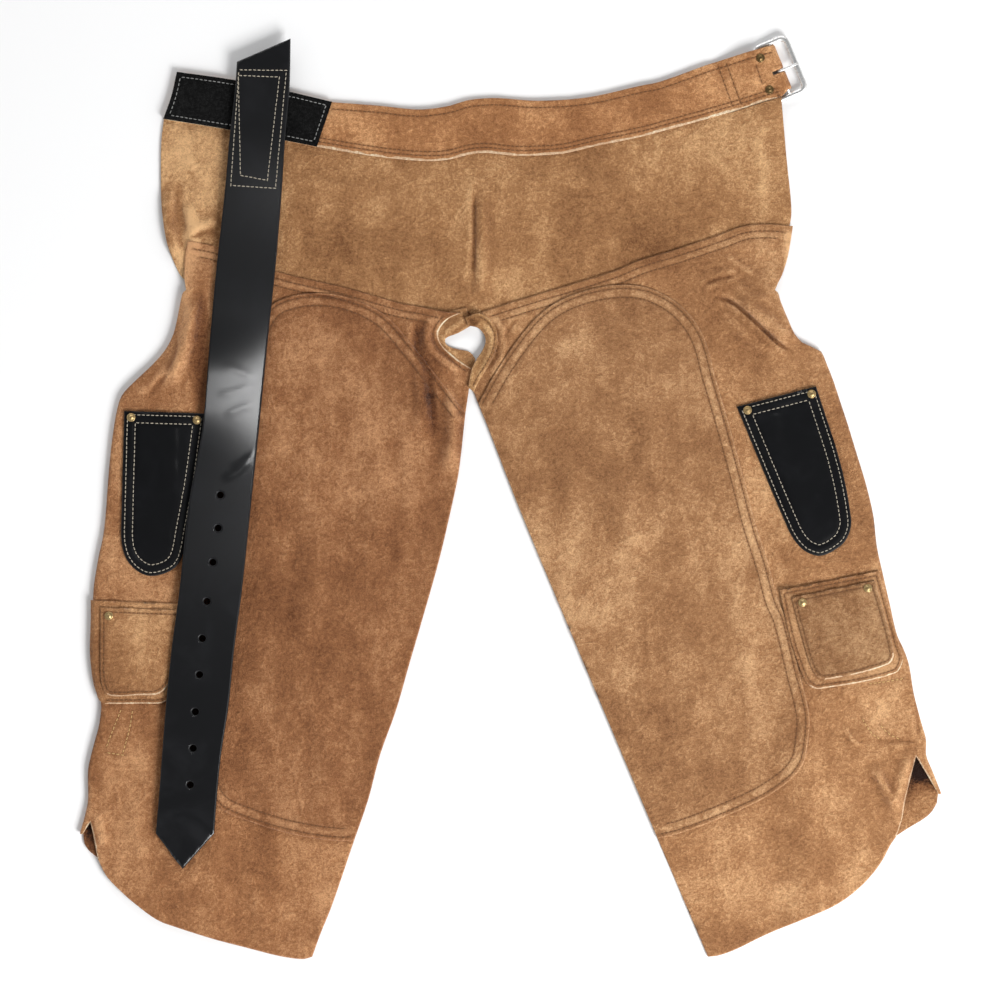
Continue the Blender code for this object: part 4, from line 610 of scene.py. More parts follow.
class ApronColours(PropertyGroup):
    suede: FloatVectorProperty(
        name="Suede", description="Main colour of the suede", subtype="COLOR", size=3,
        default=(0.39, 0.188, 0.079), min=0.0, max=1.0)
    raw_suede: FloatVectorProperty(
        name="Raw Suede", description="Colour of a cut edge", subtype="COLOR", size=3,
        default=(0.66, 0.43, 0.26), min=0.0, max=1.0)
    brown_thread: FloatVectorProperty(
        name="Brown Thread", description="Thread on the suede", subtype="COLOR", size=3,
        default=(0.17, 0.08, 0.035), min=0.0, max=1.0)
    gold_thread: FloatVectorProperty(
        name="Gold Thread", description="Thread that holds the leg straps", subtype="COLOR", size=3,
        default=(0.62, 0.4, 0.17), min=0.0, max=1.0)
    pale_thread: FloatVectorProperty(
        name="Pale Thread", description="Thread on the black leather", subtype="COLOR", size=3,
        default=(0.4, 0.355, 0.28), min=0.0, max=1.0)
    grey_thread: FloatVectorProperty(
        name="Grey Thread", description="Thread on the black tape", subtype="COLOR", size=3,
        default=(0.25, 0.25, 0.24), min=0.0, max=1.0)
    black_leather: FloatVectorProperty(
        name="Black Leather", description="Colour of the belt strap and knife pockets",
        subtype="COLOR", size=3, default=(0.0038, 0.004, 0.0047), min=0.0, max=1.0)
    floor: FloatVectorProperty(
        name="Floor", description="Colour of the floor", subtype="COLOR", size=3,
        default=(0.93, 0.93, 0.93), min=0.0, max=1.0)


def sizes():
    return bpy.context.scene.apron_sizes


def colours():
    return bpy.context.scene.apron_colours


def table(points):
    return np.array([tuple(point)[:2] for point in points], float)


def eased(share):
    share = np.clip(share, 0.0, 1.0)
    return share * share * (3.0 - 2.0 * share)


def lengths_along(line):
    return np.concatenate(([0.0], np.cumsum(np.linalg.norm(np.diff(line, axis=0), axis=1))))


def points_at(line, lengths, wanted):
    """The points of a polyline at some lengths along it."""
    return np.column_stack([np.interp(wanted, lengths, line[:, axis]) for axis in (0, 1)])


def smooth_run(points, step):
    """Points about one step apart along a smooth curve through the given ones."""
    points = table(points)
    spans = np.maximum(np.linalg.norm(np.diff(points, axis=0), axis=1), 1e-6)
    slopes = np.empty_like(points)
    slopes[0] = (points[1] - points[0]) / spans[0]
    slopes[-1] = (points[-1] - points[-2]) / spans[-1]
    slopes[1:-1] = (points[2:] - points[:-2]) / (spans[1:] + spans[:-1])[:, None]
    dense = [points[:1]]
    t = np.linspace(0.0, 1.0, 9)[1:, None]
    for index, span in enumerate(spans):
        dense.append(
            points[index] * (2 * t ** 3 - 3 * t ** 2 + 1) + slopes[index] * span * (t ** 3 - 2 * t ** 2 + t)
            + points[index + 1] * (3 * t ** 2 - 2 * t ** 3) + slopes[index + 1] * span * (t ** 3 - t ** 2))
    return resampled(np.concatenate(dense), step)


def resampled(line, step):
    """A polyline with points one even step apart, close to the step asked for."""
    lengths = lengths_along(line)
    count = max(1, round(lengths[-1] / step))
    return points_at(line, lengths, np.linspace(0.0, lengths[-1], count + 1))


def outline(*stretches, step=EDGE_STEP):
    """A closed loop from stretches that follow each other; each is smooth in itself."""
    return np.concatenate([smooth_run(points, step)[:-1] for points in stretches])


def polygon(corners, step=EDGE_STEP):
    """A closed loop with straight sides."""
    return outline(*zip(corners, corners[1:] + corners[:1]), step=step)


def closed(loop):
    return np.concatenate((loop, loop[:1]))


def across(run):
    """Each direction turned a quarter to the left."""
    return np.column_stack((-run[:, 1], run[:, 0]))


def beside(line):
    """The directions to the left of a polyline, one long."""
    run = np.gradient(line, axis=0)
    return across(run / np.linalg.norm(run, axis=1)[:, None])


def inside(points, loop):
    """Which points lie inside a closed loop."""
    near = near_to(points, loop, 0.0)
    found = np.zeros(near.sum(), bool)
    x, y = points[near].T
    for (ax, ay), (bx, by) in zip(loop, np.roll(loop, -1, axis=0)):
        if ay != by:
            found ^= ((ay > y) != (by > y)) & (x < ax + (y - ay) / (by - ay) * (bx - ax))
    result = np.zeros(len(points), bool)
    result[near] = found
    return result


def near_to(points, line, margin):
    """Which points lie in a line's bounding box, widened by a margin."""
    low, high = line.min(axis=0) - margin, line.max(axis=0) + margin
    return ((points >= low) & (points <= high)).all(axis=1)


def distances(points, line):
    """Distance of each point from a polyline."""
    tree = tree_of(line.tobytes())
    return np.array([tree.find((x, y, 0.0))[2] for x, y in points])


def search_tree(points):
    tree = KDTree(len(points))
    for index, (x, y) in enumerate(points):
        tree.insert((x, y, 0.0), index)
    tree.balance()
    return tree


@functools.cache
def tree_of(line):
    """A search tree of a polyline, given as the bytes of its points."""
    line = np.frombuffer(line).reshape(-1, 2)
    return search_tree(resampled(line, 0.6) if len(line) > 1 else line)


def swell(points, length, seed):
    """Soft random humps from 0 to 1, about a length apart."""
    cells = points / length + seed * 17.31
    corner = np.floor(cells).astype(np.int64)
    share = eased(cells - corner)

    def draw(right, up):
        key = (corner[:, 0] + right) * 374761393 + (corner[:, 1] + up) * 668265263 + seed * 144665
        key = (key ^ (key >> 13)) * 1274126177
        return ((key ^ (key >> 16)) & 0xFFFF) / 65535.0

    low = draw(0, 0) * (1 - share[:, 0]) + draw(1, 0) * share[:, 0]
    high = draw(0, 1) * (1 - share[:, 0]) + draw(1, 1) * share[:, 0]
    return low * (1 - share[:, 1]) + high * share[:, 1]


@functools.cache
def crest_line(crest):
    return smooth_run(crest, 3.0)


def fold_height(points, fold):
    """Height of one raised fold (or depth of a valley) over the plan's points."""
    crest = crest_line(fold.crest)
    near = near_to(points, crest, fold.half)
    height = np.zeros(len(points))
    if not near.any():
        return height
    some = points[near]
    lengths = lengths_along(crest)
    best = np.full(len(some), 1e9)
    along = np.zeros(len(some))
    for a, b, start in zip(crest, crest[1:], lengths):
        run = b - a
        share = np.clip((some - a) @ run / (run @ run), 0.0, 1.0)
        away = np.linalg.norm(some - a - share[:, None] * run, axis=1)
        nearer = away < best
        best = np.where(nearer, away, best)
        along = np.where(nearer, start + share * np.linalg.norm(run), along)
    along = along / lengths[-1]
    taper = eased(np.minimum(along, 1.0 - along) * 4.0)
    height[near] = fold.height * taper * eased(1.0 - best / fold.half)
    return height


def drape(points):
    """Height of the cloth over the plan: the raised folds, and soft uneven relief."""
    height = np.zeros(len(points))
    for fold in FOLDS:
        height = np.maximum(height, fold_height(points, fold))
    for seed, (length, share) in enumerate(RELIEF, 1):
        height += sizes().relief / MM * share * swell(points, length, seed)
    for crease in CREASES:
        height = height + fold_height(points, crease)
    return np.maximum(height, 0.0)


def bend(points):
    """How much the cloth bends: above 0 in hollows, below 0 on crests."""
    reach = 4.0
    around = [drape(points + np.array(step) * reach) for step in ((1, 0), (-1, 0), (0, 1), (0, -1))]
    return sum(around) / 4 - drape(points)


def shaded_by(places, points, values):
    """Values at points, with the amounts of soft places added."""
    for place in places:
        away = ((points[:, 0] - place.x) / place.wide) ** 2 + ((points[:, 1] - place.y) / place.tall) ** 2
        values = values + place.amount * np.exp(-away)
    return values


def paleness(points):
    """Where a face is paler or darker: the soft places (own tone, with painted light and shade among them),
    crests paler as wear and painted highlight, hollows darker as painted shade, and painted shade under the
    strap's holes.
    """
    # Painted light from how the cloth bends: crests paler, partly wear and partly painted highlight, and
    # hollows darker as painted shade.
    worn = np.clip(-0.75 * bend(points), -0.85, 0.35)
    pale = np.clip(shaded_by(TONE_AND_LIGHT_PLACES, points, worn), -1.05, 1.3)
    # Painted shade on the suede under each of the strap's punched holes, so that the holes look dark from
    # above.
    for x, y in STRAP_HOLES:
        pale -= 2.2 * np.exp(-(((points[:, 0] - x) ** 2 + (points[:, 1] - y) ** 2) / 60.0))
    return pale


def ridge_highlight(name, points):
    """How much painted highlight the ridge between a piece's two rows of stitches gets."""
    found = np.zeros(len(points))
    if name in RIDGE_HIGHLIGHTS:
        line, inset = RIDGE_HIGHLIGHTS[name]
        near = near_to(points, table(line), 20.0)
        away = distances(points[near], smooth_run(line, EDGE_STEP)) - inset
        found[near] = 0.45 * np.exp(-(away / 3.0) ** 2)
    return found


class Leg:
    """One leg's folded outer edge: `side` is -1 on the left and 1 on the right."""

    def __init__(self, side, rows):
        self.side = side
        self.rows = rows
        self.top = rows[0].y
        self.tip = rows[-1].y
        curve = smooth_run([(row.y, row.x) for row in rows], 2.0)
        self.levels = curve[::-1, 0]
        self.edge = curve[::-1, 1] - side * FOLD_REACH
        self.flap_levels = np.array([row.y for row in reversed(rows)])
        self.flaps = np.array([row.flap for row in reversed(rows)])

    def line(self, y):
        """Where the front sheet starts to turn under."""
        return np.interp(y, self.levels, self.edge)

    def lift(self, points):
        """Height of the front sheet over the floor, because its flap lies below."""
        back = self.side * (self.line(points[:, 1]) - points[:, 0])
        flap = np.maximum(np.interp(points[:, 1], self.flap_levels, self.flaps), 1.0)
        over = 1.0 - eased((back - flap - FLAP_MARGIN) / FLAP_SLOPE)
        return FOLD_BASE * over * (1.0 - eased((points[:, 1] - self.top) / TOP_SLOPE))

    def cut(self, points):
        """Plan points of flap points, given where they lie under the front sheet."""
        line = self.line(points[:, 1])
        depth = self.side * (line - points[:, 0])
        return np.column_stack((line + self.side * (FOLD_ARC + depth), points[:, 1]))

    def fold_line(self, part):
        """Plan line that lies a share of the way round the fold, from its top to its tip."""
        start = self.top - FOLD_END * part
        count = round((self.top - self.tip) / EDGE_STEP)
        levels = np.linspace(self.top, self.tip, count + 1)
        levels = np.concatenate(([start], levels[levels < start - 0.5 * EDGE_STEP]))
        return np.column_stack((self.line(levels) + self.side * FOLD_ARC * part, levels))

    def place(self, points, height, base):
        """Lay plan points: flat on top, round the fold, and back underneath."""
        hinge = np.column_stack((self.line(points[:, 1]), points[:, 1]))
        beyond = self.side * (points[:, 0] - hinge[:, 0])
        front = (beyond <= 0.0) | (points[:, 1] > self.top)
        middle = base(hinge) - FOLD_INSIDE
        radius = FOLD_INSIDE + height
        turn = np.pi * np.clip(beyond / FOLD_ARC, 0.0, 1.0)
        under = np.maximum(beyond - FOLD_ARC, 0.0)
        x = np.where(front, points[:, 0], hinge[:, 0] + self.side * (np.sin(turn) * radius - under))
        z = np.where(front, base(points) + height, middle + np.cos(turn) * radius)
        return np.column_stack((x, points[:, 1], z))


LEFT = Leg(-1, LEFT_EDGE)
RIGHT = Leg(1, RIGHT_EDGE)


def flap_loop(leg, hem):
    """The flap's cut: its hem inwards from the tip, and its inner edge up to the fold's top."""
    rows = [row for row in leg.rows if hem[-1][1] + FLAP_HEM < row.y < leg.top - FOLD_END]
    inner = [(hem[-1][0], hem[-1][1])]
    inner += [(leg.line(row.y) - leg.side * row.flap, row.y) for row in reversed(rows)]
    cut = np.concatenate((smooth_run(hem, EDGE_STEP)[:-1], smooth_run(inner, EDGE_STEP)))
    top = [leg.fold_line(part / FOLD_PARTS)[0] for part in range(FOLD_PARTS, -1, -1)]
    return np.concatenate((leg.cut(cut), top))


def leg_loop(leg, flap, front, shoulder):
    """A leg's cut: its front, the vent, the fold at the tip, the flap and the fold's top."""
    tip = (leg.line(leg.tip), leg.tip)
    loop = outline(*front, [front[-1][-1], tip])
    turn = [leg.fold_line(part / FOLD_PARTS)[-1] for part in range(FOLD_PARTS + 1)]
    return np.concatenate((loop, turn, flap_loop(leg, flap), smooth_run(shoulder, EDGE_STEP)[:-1]))


def bar_place(points):
    """Plan points as seen from the buckle's bar: distance behind it, and place down it."""
    offset = np.asarray(points, float).reshape(-1, 2) - np.array(BAR_MIDDLE)
    return -offset @ np.array(ALONG), offset @ np.array(ACROSS)


def bar_point(back, down):
    """The plan point at a distance behind the bar, and at a place down it."""
    return np.array(BAR_MIDDLE) - np.array(ALONG) * back + np.array(ACROSS) * down


def reading(knots, place):
    """Straight interpolation in a table of knots."""
    return np.interp(place, [knot.back for knot in knots], [knot.height for knot in knots])


def place_flat(points, height, base):
    return np.column_stack((points, base(points) + height))


def place_band(points, height, base):
    """Lay the waistband: on the yoke, over the buckle's bar, and back underneath."""
    back, down = bar_place(points)
    radius = LOOP_INSIDE + height
    turn = np.pi * np.clip(-back / LOOP_ARC, 0.0, 1.0)
    under = np.maximum(-back - LOOP_ARC, 0.0)
    moved = np.where(back >= 0.0, back, under - np.sin(turn) * radius)
    flat = np.array(BAR_MIDDLE) - moved[:, None] * np.array(ALONG) + down[:, None] * np.array(ACROSS)
    z = np.where(back >= YOKE_NOTCH, base(points) + height, reading(BAND_FRONT, back) + height)
    round_bar = BAR_HEIGHT + np.cos(turn) * radius
    returned = reading(BAND_RETURN, under) + SUEDE - height
    z = np.where(back >= 0.0, z, np.where(-back < LOOP_ARC, round_bar, returned))
    return np.column_stack((flat, z))


def yoke_lift(points):
    """The yoke's corner lies over the rear half of the buckle."""
    back, down = bar_place(points)
    return reading(YOKE_CORNER, back) * reading(YOKE_BELOW, down)


Piece = namedtuple("Piece", "loop under thickness place rise holes")


def band_turn():
    """The waistband's cut round the bar and back to its end."""
    cut = [(0.0, LOOP_HALF), (-LOOP_ARC, LOOP_HALF), (-LOOP_ARC - RETURN_TAPER, RETURN_HALF),
           (-LOOP_ARC - RETURN_END, RETURN_HALF)]
    cut = [bar_point(back, down) for back, down in cut + [(back, -down) for back, down in cut[::-1]]]
    return [(a, b) for a, b in zip(cut, cut[1:])]


@functools.cache
def pieces():
    """Every suede, pocket and tape piece of the plan, with the pieces that it lies on."""
    slot = polygon([bar_point(back, PRONG_SHIFT + half) for back, half in (
        (SLOT_BACK, -SLIT_HALF), (SLOT_BACK, SLIT_HALF),
        (-LOOP_ARC - SLOT_BACK, SLIT_HALF), (-LOOP_ARC - SLOT_BACK, -SLIT_HALF))], step=2.0)
    left = ["yoke", "left_crotch_binding", "left_leg"]
    right = ["yoke", "right_leg"]
    turn = LEFT.fold_line(0.5)[::-1]
    turn = turn[(turn[:, 1] < LEFT_POCKET_TOP[0][1] - 2.0) & (turn[:, 1] > LEFT_POCKET_BOWL[-1][1] + 2.0)]
    made = {}

    def add(name, loop, under, place=place_flat, rise=None, thickness=SUEDE, holes=()):
        made[name] = Piece(loop, under, thickness, place, rise, holes)

    add("yoke", outline(
        YOKE_LEFT[::-1], YOKE_LOWER[::-1], YOKE_RIGHT[::-1], YOKE_END[::-1],
        [YOKE_END[0], BAND_UPPER[0]], BAND_UPPER, BAND_LEFT_TOP, BAND_LEFT_END), [], rise=yoke_lift)
    add("waistband", outline(
        BAND_LEFT_LOWER, BAND_LOWER, BAND_END_LOWER, [BAND_END_LOWER[-1], bar_point(0.0, LOOP_HALF)],
        *band_turn(), BAND_END_UPPER, BAND_UPPER, BAND_LEFT_TOP, BAND_LEFT_END),
        ["yoke"], place=place_band, holes=(slot,))
    add("loop_pad", outline(
        BAND_LEFT_LOWER, [BAND_LOWER[0], BAND_LEFT_TOP[0]], BAND_LEFT_TOP, BAND_LEFT_END),
        ["yoke", "waistband"], thickness=TAPE)
    add("left_crotch_binding", outline(
        LEFT_BINDING_HOLE, [LEFT_BINDING_HOLE[-1], LEFT_BINDING_UNDER[0]], LEFT_BINDING_UNDER,
        [LEFT_BINDING_UNDER[-1], LEFT_BINDING_HOLE[0]], step=CURVE_STEP), ["yoke"])
    add("left_leg", leg_loop(
        LEFT, LEFT_FLAP,
        [LEFT_TOP, LEFT_CROTCH, LEFT_GAP, LEFT_INNER, LEFT_INNER_LOW, LEFT_HEM, LEFT_VENT],
        LEFT_SHOULDER), left[:2], place=LEFT.place, rise=LEFT.lift)
    add("right_leg", leg_loop(
        RIGHT, RIGHT_FLAP,
        [RIGHT_TOP[::-1], RIGHT_CROTCH[::-1], RIGHT_GAP[::-1], RIGHT_INNER[::-1],
         RIGHT_INNER_LOW[::-1], RIGHT_HEM[::-1], RIGHT_VENT[::-1]],
        RIGHT_SHOULDER[::-1]), right[:1], place=RIGHT.place, rise=RIGHT.lift)
    add("left_thigh_patch", outline(LEFT_INNER, LEFT_PATCH_OUTER), left, rise=LEFT.lift)
    add("right_thigh_patch", outline(RIGHT_INNER, RIGHT_PATCH_OUTER), right, rise=RIGHT.lift)
    add("right_crotch_binding", outline(
        RIGHT_BINDING_HOLE, [RIGHT_BINDING_HOLE[-1], RIGHT_BINDING_OUTER[0]], RIGHT_BINDING_OUTER,
        [RIGHT_BINDING_OUTER[-1], RIGHT_BINDING_HOLE[0]], step=CURVE_STEP), left + ["right_leg"])
    add("left_knife_pocket", outline(LEFT_KNIFE_TOP, LEFT_KNIFE_BOWL), left,
        rise=LEFT.lift, thickness=BLACK_LEATHER)
    add("right_knife_pocket", outline(RIGHT_KNIFE_TOP, RIGHT_KNIFE_BOWL), right,
        rise=RIGHT.lift, thickness=BLACK_LEATHER)
    add("left_suede_pocket", np.concatenate((outline(
        [(LEFT.line(LEFT_POCKET_TOP[0][1]) - FOLD_ARC / 2, LEFT_POCKET_TOP[0][1]), LEFT_POCKET_TOP[-1]],
        LEFT_POCKET_BOWL,
        [LEFT_POCKET_BOWL[-1], (LEFT.line(LEFT_POCKET_BOWL[-1][1]) - FOLD_ARC / 2, LEFT_POCKET_BOWL[-1][1])],
    ), turn)), left, place=LEFT.place, rise=LEFT.lift)
    add("left_suede_pocket_top", outline(LEFT_FRONT_POCKET, LEFT_FRONT_POCKET_BOWL),
        left + ["left_suede_pocket"], rise=LEFT.lift)
    right = right + ["right_thigh_patch"]
    add("right_suede_pocket", outline(RIGHT_POCKET_TOP, RIGHT_POCKET_BOWL), right, rise=RIGHT.lift)
    add("right_suede_pocket_top", outline(RIGHT_FRONT_POCKET, RIGHT_FRONT_POCKET_BOWL),
        right + ["right_suede_pocket"], rise=RIGHT.lift)
    return made


def covering(points, loop):
    """1 on a piece, falling to 0 at the lap slope's length outside it."""
    near = near_to(points, loop, LAP_SLOPE)
    weight = np.zeros(len(points))
    if near.any():
        some = points[near]
        weight[near] = np.where(inside(some, loop), 1.0,
                                np.clip(1.0 - distances(some, closed(loop)) / LAP_SLOPE, 0.0, 1.0))
    return weight


def base_height(name, points):
    """Height of a piece's underside over the floor at points of the plan."""
    piece = pieces()[name]
    height = drape(points)
    if piece.rise is not None:
        height = height + piece.rise(points)
    for below in piece.under:
        height = height + (pieces()[below].thickness + GAP) * covering(points, pieces()[below].loop)
    return height


def seam(name, points):
    """1 on a piece's rows of stitches, falling to 0 beside them."""
    found = np.zeros(len(points))
    for line, _ in stitch_paths(name):
        near = near_to(points, line, SEAM_REACH)
        if near.any():
            mark = np.exp(-(distances(points[near], line) / SEAM_WIDTH) ** 2)
            found[near] = np.maximum(found[near], mark)
    return found


def groove(name, points):
    """How much the rows of stitches pull a piece's face down at points of the plan."""
    return seam(name, points) * sizes().groove / MM


def lay(name, points, height):
    """Where points of a piece's plan come to lie, a height over its underside."""
    piece = pieces()[name]
    height = np.broadcast_to(np.asarray(height, float), len(points))
    if piece.place == LEFT.place and name != "left_leg":
        height = height + base_height(name, points) - base_height("left_leg", points)
        return piece.place(points, height, functools.partial(base_height, "left_leg"))
    return piece.place(points, height, functools.partial(base_height, name))


def inset_row(name, stretch, inset):
    """A line inside a piece's edge, broken where it would come nearer to another edge."""
    loop = pieces()[name].loop
    path = smooth_run(stretch, ROW_STEP)
    side = beside(path)
    middle = slice(len(path) // 2, len(path) // 2 + 1)
    if not inside(path[middle] + side[middle] * 2.0, loop)[0]:
        side = -side
    moved = path + side * inset
    return kept_runs(moved, inside(moved, loop) & (distances(moved, closed(loop)) > inset - 0.35), 6)


def kept_runs(line, kept, least=3):
    """The stretches of a line whose points are all kept, without very short ones."""
    lines, start = [], None
    for index, good in enumerate(list(kept) + [False]):
        if good and start is None:
            start = index
        if not good and start is not None:
            if index - start > least:
                lines.append(line[start:index])
            start = None
    return lines


@functools.cache
def stitch_paths(name):
    """Each unbroken row of stitches on a piece, with its thread."""
    found = []
    for row in SEAMS.get(name, ()):
        own = row.inset is None
        lines = [smooth_run(row.path, ROW_STEP)] if own else inset_row(name, row.path, row.inset)
        found += [(line, row.thread) for line in lines]
    return found


def mesh_object(name, points, faces, materials, slots=None):
    """A mesh object from points in millimetres of the plan's space."""
    mesh = bpy.data.meshes.new(name)
    points = (np.asarray(points, float) - np.array(ORIGIN)) * MM
    mesh.from_pydata(points.tolist(), [], [tuple(map(int, face)) for face in faces])
    for material in materials:
        mesh.materials.append(material)
    if slots is not None:
        mesh.polygons.foreach_set("material_index", np.asarray(slots, np.int32))
    mesh.polygons.foreach_set("use_smooth", np.ones(len(mesh.polygons), bool))
    mesh.validate()
    made = bpy.data.objects.new(name, mesh)
    bpy.context.scene.collection.objects.link(made)
    return made


def lattice(loop, holes, lines, pitch):
    """Points of a triangular lattice inside a loop, away from its lines."""
    low, high = loop.min(axis=0), loop.max(axis=0)
    rise = pitch * math.sqrt(0.75)
    rows = np.arange(math.floor(low[1] / rise), math.ceil(high[1] / rise) + 1)
    columns = np.arange(math.floor(low[0] / pitch) - 1, math.ceil(high[0] / pitch) + 1)
    row, column = np.meshgrid(rows, columns, indexing="ij")
    points = np.column_stack((((column + 0.5 * (row % 2)) * pitch).ravel(), (row * rise).ravel()))
    keep = inside(points, loop)
    for hole in holes:
        keep &= ~inside(points, hole)
    points = points[keep]
    tree = search_tree(np.concatenate([resampled(line, 1.2) for line in lines]))
    return points[[tree.find((x, y, 0.0))[2] > 0.5 * pitch for x, y in points]]


def cut(loop, holes, extra, pitch):
    """Triangulate a flat shape: its points, and its facets turned upwards."""
    lines = [closed(loop)] + [closed(hole) for hole in holes] + list(extra)
    points = []
    edges = []
    for line in lines:
        edges += [(len(points) + index, len(points) + index + 1) for index in range(len(line) - 1)]
        points += [Vector(point) for point in line]
    points += [Vector(point) for point in lattice(loop, holes, lines, pitch)]
    corners, _, faces, _, _, _ = delaunay_2d_cdt(points, edges, [], 0, 0.05)
    corners = np.array([tuple(corner) for corner in corners])
    faces = np.array(faces)
    turn = turned_by(corners, faces)
    faces[turn < 0.0] = faces[turn < 0.0][:, ::-1]
    middle = corners[faces].mean(axis=1)
    keep = inside(middle, loop) & (np.abs(turn) > 1e-6)
    for hole in holes:
        keep &= ~inside(middle, hole)
    faces = faces[keep]
    used, faces = np.unique(faces, return_inverse=True)
    return corners[used], faces.reshape(-1, 3)


def turned_by(flat, faces):
    """Twice the signed area of each flat facet."""
    a, b, c = (flat[faces[:, index]] for index in range(3))
    return (b[:, 0] - a[:, 0]) * (c[:, 1] - a[:, 1]) - (b[:, 1] - a[:, 1]) * (c[:, 0] - a[:, 0])


# The rounded cut edge: its rings' share of the thickness and of the inset, and the lower face's inset
EDGE_RINGS = ((0.35, 0.0), (0.8, 0.3))
LOWER_INSET = 0.2
# Insets shrink by a share, so many times, where a facet would keep less than this of its area
INSET_ROUNDS = 8
INSET_SHRINK = 0.6
AREA_KEPT = 0.3


def rim_insets(flat, faces, rim, edge, straight):
    """Each point's way inward from the rim, and how far a cut edge may take it there."""
    inward = np.zeros_like(flat)
    run = flat[rim[:, 1]] - flat[rim[:, 0]]
    run /= np.maximum(np.linalg.norm(run, axis=1), 1e-9)[:, None]
    side = across(run)
    np.add.at(inward, rim[:, 0], side)
    np.add.at(inward, rim[:, 1], side)
    length = np.linalg.norm(inward, axis=1)
    inward[length > 0] /= length[length > 0][:, None]
    on_rim = np.unique(rim)
    inset = np.zeros(len(flat))
    inset[on_rim] = edge * (1.0 if straight else 0.75 + 0.5 * swell(flat[on_rim], 5.0, 9))
    for _ in range(INSET_ROUNDS):
        shrunk = flat + inward * inset[:, None]
        crowded = turned_by(shrunk, faces) < AREA_KEPT * turned_by(flat, faces)
        inset[np.unique(faces[crowded])] *= INSET_SHRINK
    return inward, inset


def shell(name, flat, faces, place, thickness, materials, edge, sunk=0.0, marks=None, edges=(),
          straight=False):
    """Close flat facets into a wall with a rounded cut edge.

    `place` lays flat points at a height; `materials` are the face's, the back's and the edge's.
    `marks` are values for the face's points, and `edges` are lines along the rim with their slot.
    """
    count = len(flat)
    directed = np.concatenate((faces[:, [0, 1]], faces[:, [1, 2]], faces[:, [2, 0]]))
    codes = directed[:, 0] * count + directed[:, 1]
    rim = directed[~np.isin(codes, directed[:, 1] * count + directed[:, 0])]
    on_rim = np.unique(rim)
    inward, inset = rim_insets(flat, faces, rim, edge, straight)
    lower = place(flat + inward * np.minimum(LOWER_INSET, inset)[:, None], np.zeros(count))
    upper = place(flat + inward * inset[:, None], np.full(count, thickness) - sunk)
    rings = []
    for share, part in EDGE_RINGS:
        moved = flat[on_rim] + inward[on_rim] * (part * inset[on_rim])[:, None]
        rings.append(place(moved, np.full(len(on_rim), thickness * share)))
    points = np.concatenate([lower, upper] + rings)
    number = {corner: index for index, corner in enumerate(on_rim)}
    first, second = 2 * count, 2 * count + len(on_rim)
    all_faces = [tuple(face[::-1]) for face in faces] + [tuple(face + count) for face in faces]
    slots = [1] * len(faces) + [0] * len(faces)
    middles = (flat[rim[:, 0]] + flat[rim[:, 1]]) / 2
    rim_slots = np.full(len(rim), 2)
    for line, slot in edges:
        rim_slots[distances(middles, smooth_run(line, EDGE_STEP)) < 1.0] = slot
    for (a, b), slot in zip(rim, rim_slots):
        low_a, low_b = number[a], number[b]
        all_faces.append((a, b, first + low_b, first + low_a))
        all_faces.append((first + low_a, first + low_b, second + low_b, second + low_a))
        all_faces.append((second + low_a, second + low_b, count + b, count + a))
        slots += [slot] * 3
    made = mesh_object(name, points, all_faces, materials, slots)
    # The back takes painted shade only, in the mouths of the open vents.
    painted_back_shade = {"paleness": shaded_by(VENT_PAINTED_SHADE, lower, np.zeros(count))}
    for mark, values in (marks or {}).items():
        spread = np.concatenate((painted_back_shade.get(mark, np.zeros(count)), values, values[on_rim], values[on_rim]))
        made.data.attributes.new(mark, "FLOAT", "POINT").data.foreach_set("value", spread)
    return made


def plan_area(flat, faces):
    return np.abs(turned_by(flat, faces)).sum() / 2


def stand_for(made, node, slot="suede", body="apron"):
    """Let an object stand for a solid, whose part is hidden, and ride a body; the slot is not used."""
    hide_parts(node)
    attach(made, body)


def fold_lines(name):
    """The lines across which a piece's cut turns: round a leg's edge, or round the buckle's bar."""
    piece = pieces()[name]
    found = []
    for leg in (LEFT, RIGHT):
        if piece.place == leg.place:
            lines = [leg.fold_line(part / FOLD_PARTS) for part in range(FOLD_PARTS + 1)]
            low, high = piece.loop[:, 1].min(), piece.loop[:, 1].max()
            if not name.endswith("_leg"):
                lines = [line[(line[:, 1] > low) & (line[:, 1] < high)] for line in lines[:4]]
            found += lines
    if piece.place is place_band:
        backs = [knot.back for knot in BAND_FRONT[:4]]
        backs += [-LOOP_ARC * part / FOLD_PARTS for part in range(1, FOLD_PARTS + 1)]
        backs += [-LOOP_ARC - knot.back for knot in BAND_RETURN[1:4]]
        found += [band_line(back) for back in backs]
    return found


def dress(name, materials, slot="suede", edge=None):
    """Cut, lay and finish one piece of the plan; it stands for its solid."""
    piece = pieces()[name]
    edge = sizes().raw_edge / MM if edge is None else edge
    extra = []
    for line, _ in stitch_paths(name):
        extra += groove_lines(name, line)
    extra += fold_lines(name) + crease_lines(name)
    flat, faces = cut(piece.loop, piece.holes, extra, LATTICE)
    edges = [(line, 0) for line in TURNED_AND_SHADED_EDGES.get(name, ())] + [(line, 3) for line in PALE_LIT_EDGES.get(name, ())]
    # The face's marks: its tone with painted light and shade, plus the painted highlight on the ridges
    # between rows, and its rows of stitches, which the nap paints as shade in their grooves.
    marks = {"paleness": paleness(flat) + ridge_highlight(name, flat), "seam": seam(name, flat)}
    made = shell(name + "_cloth", flat, faces, functools.partial(lay, name), piece.thickness,
                 materials, edge, groove(name, flat), marks, edges, slot != "suede")
    stand_for(made, name, slot)
    float(plan_area(flat, faces)) * MM * MM


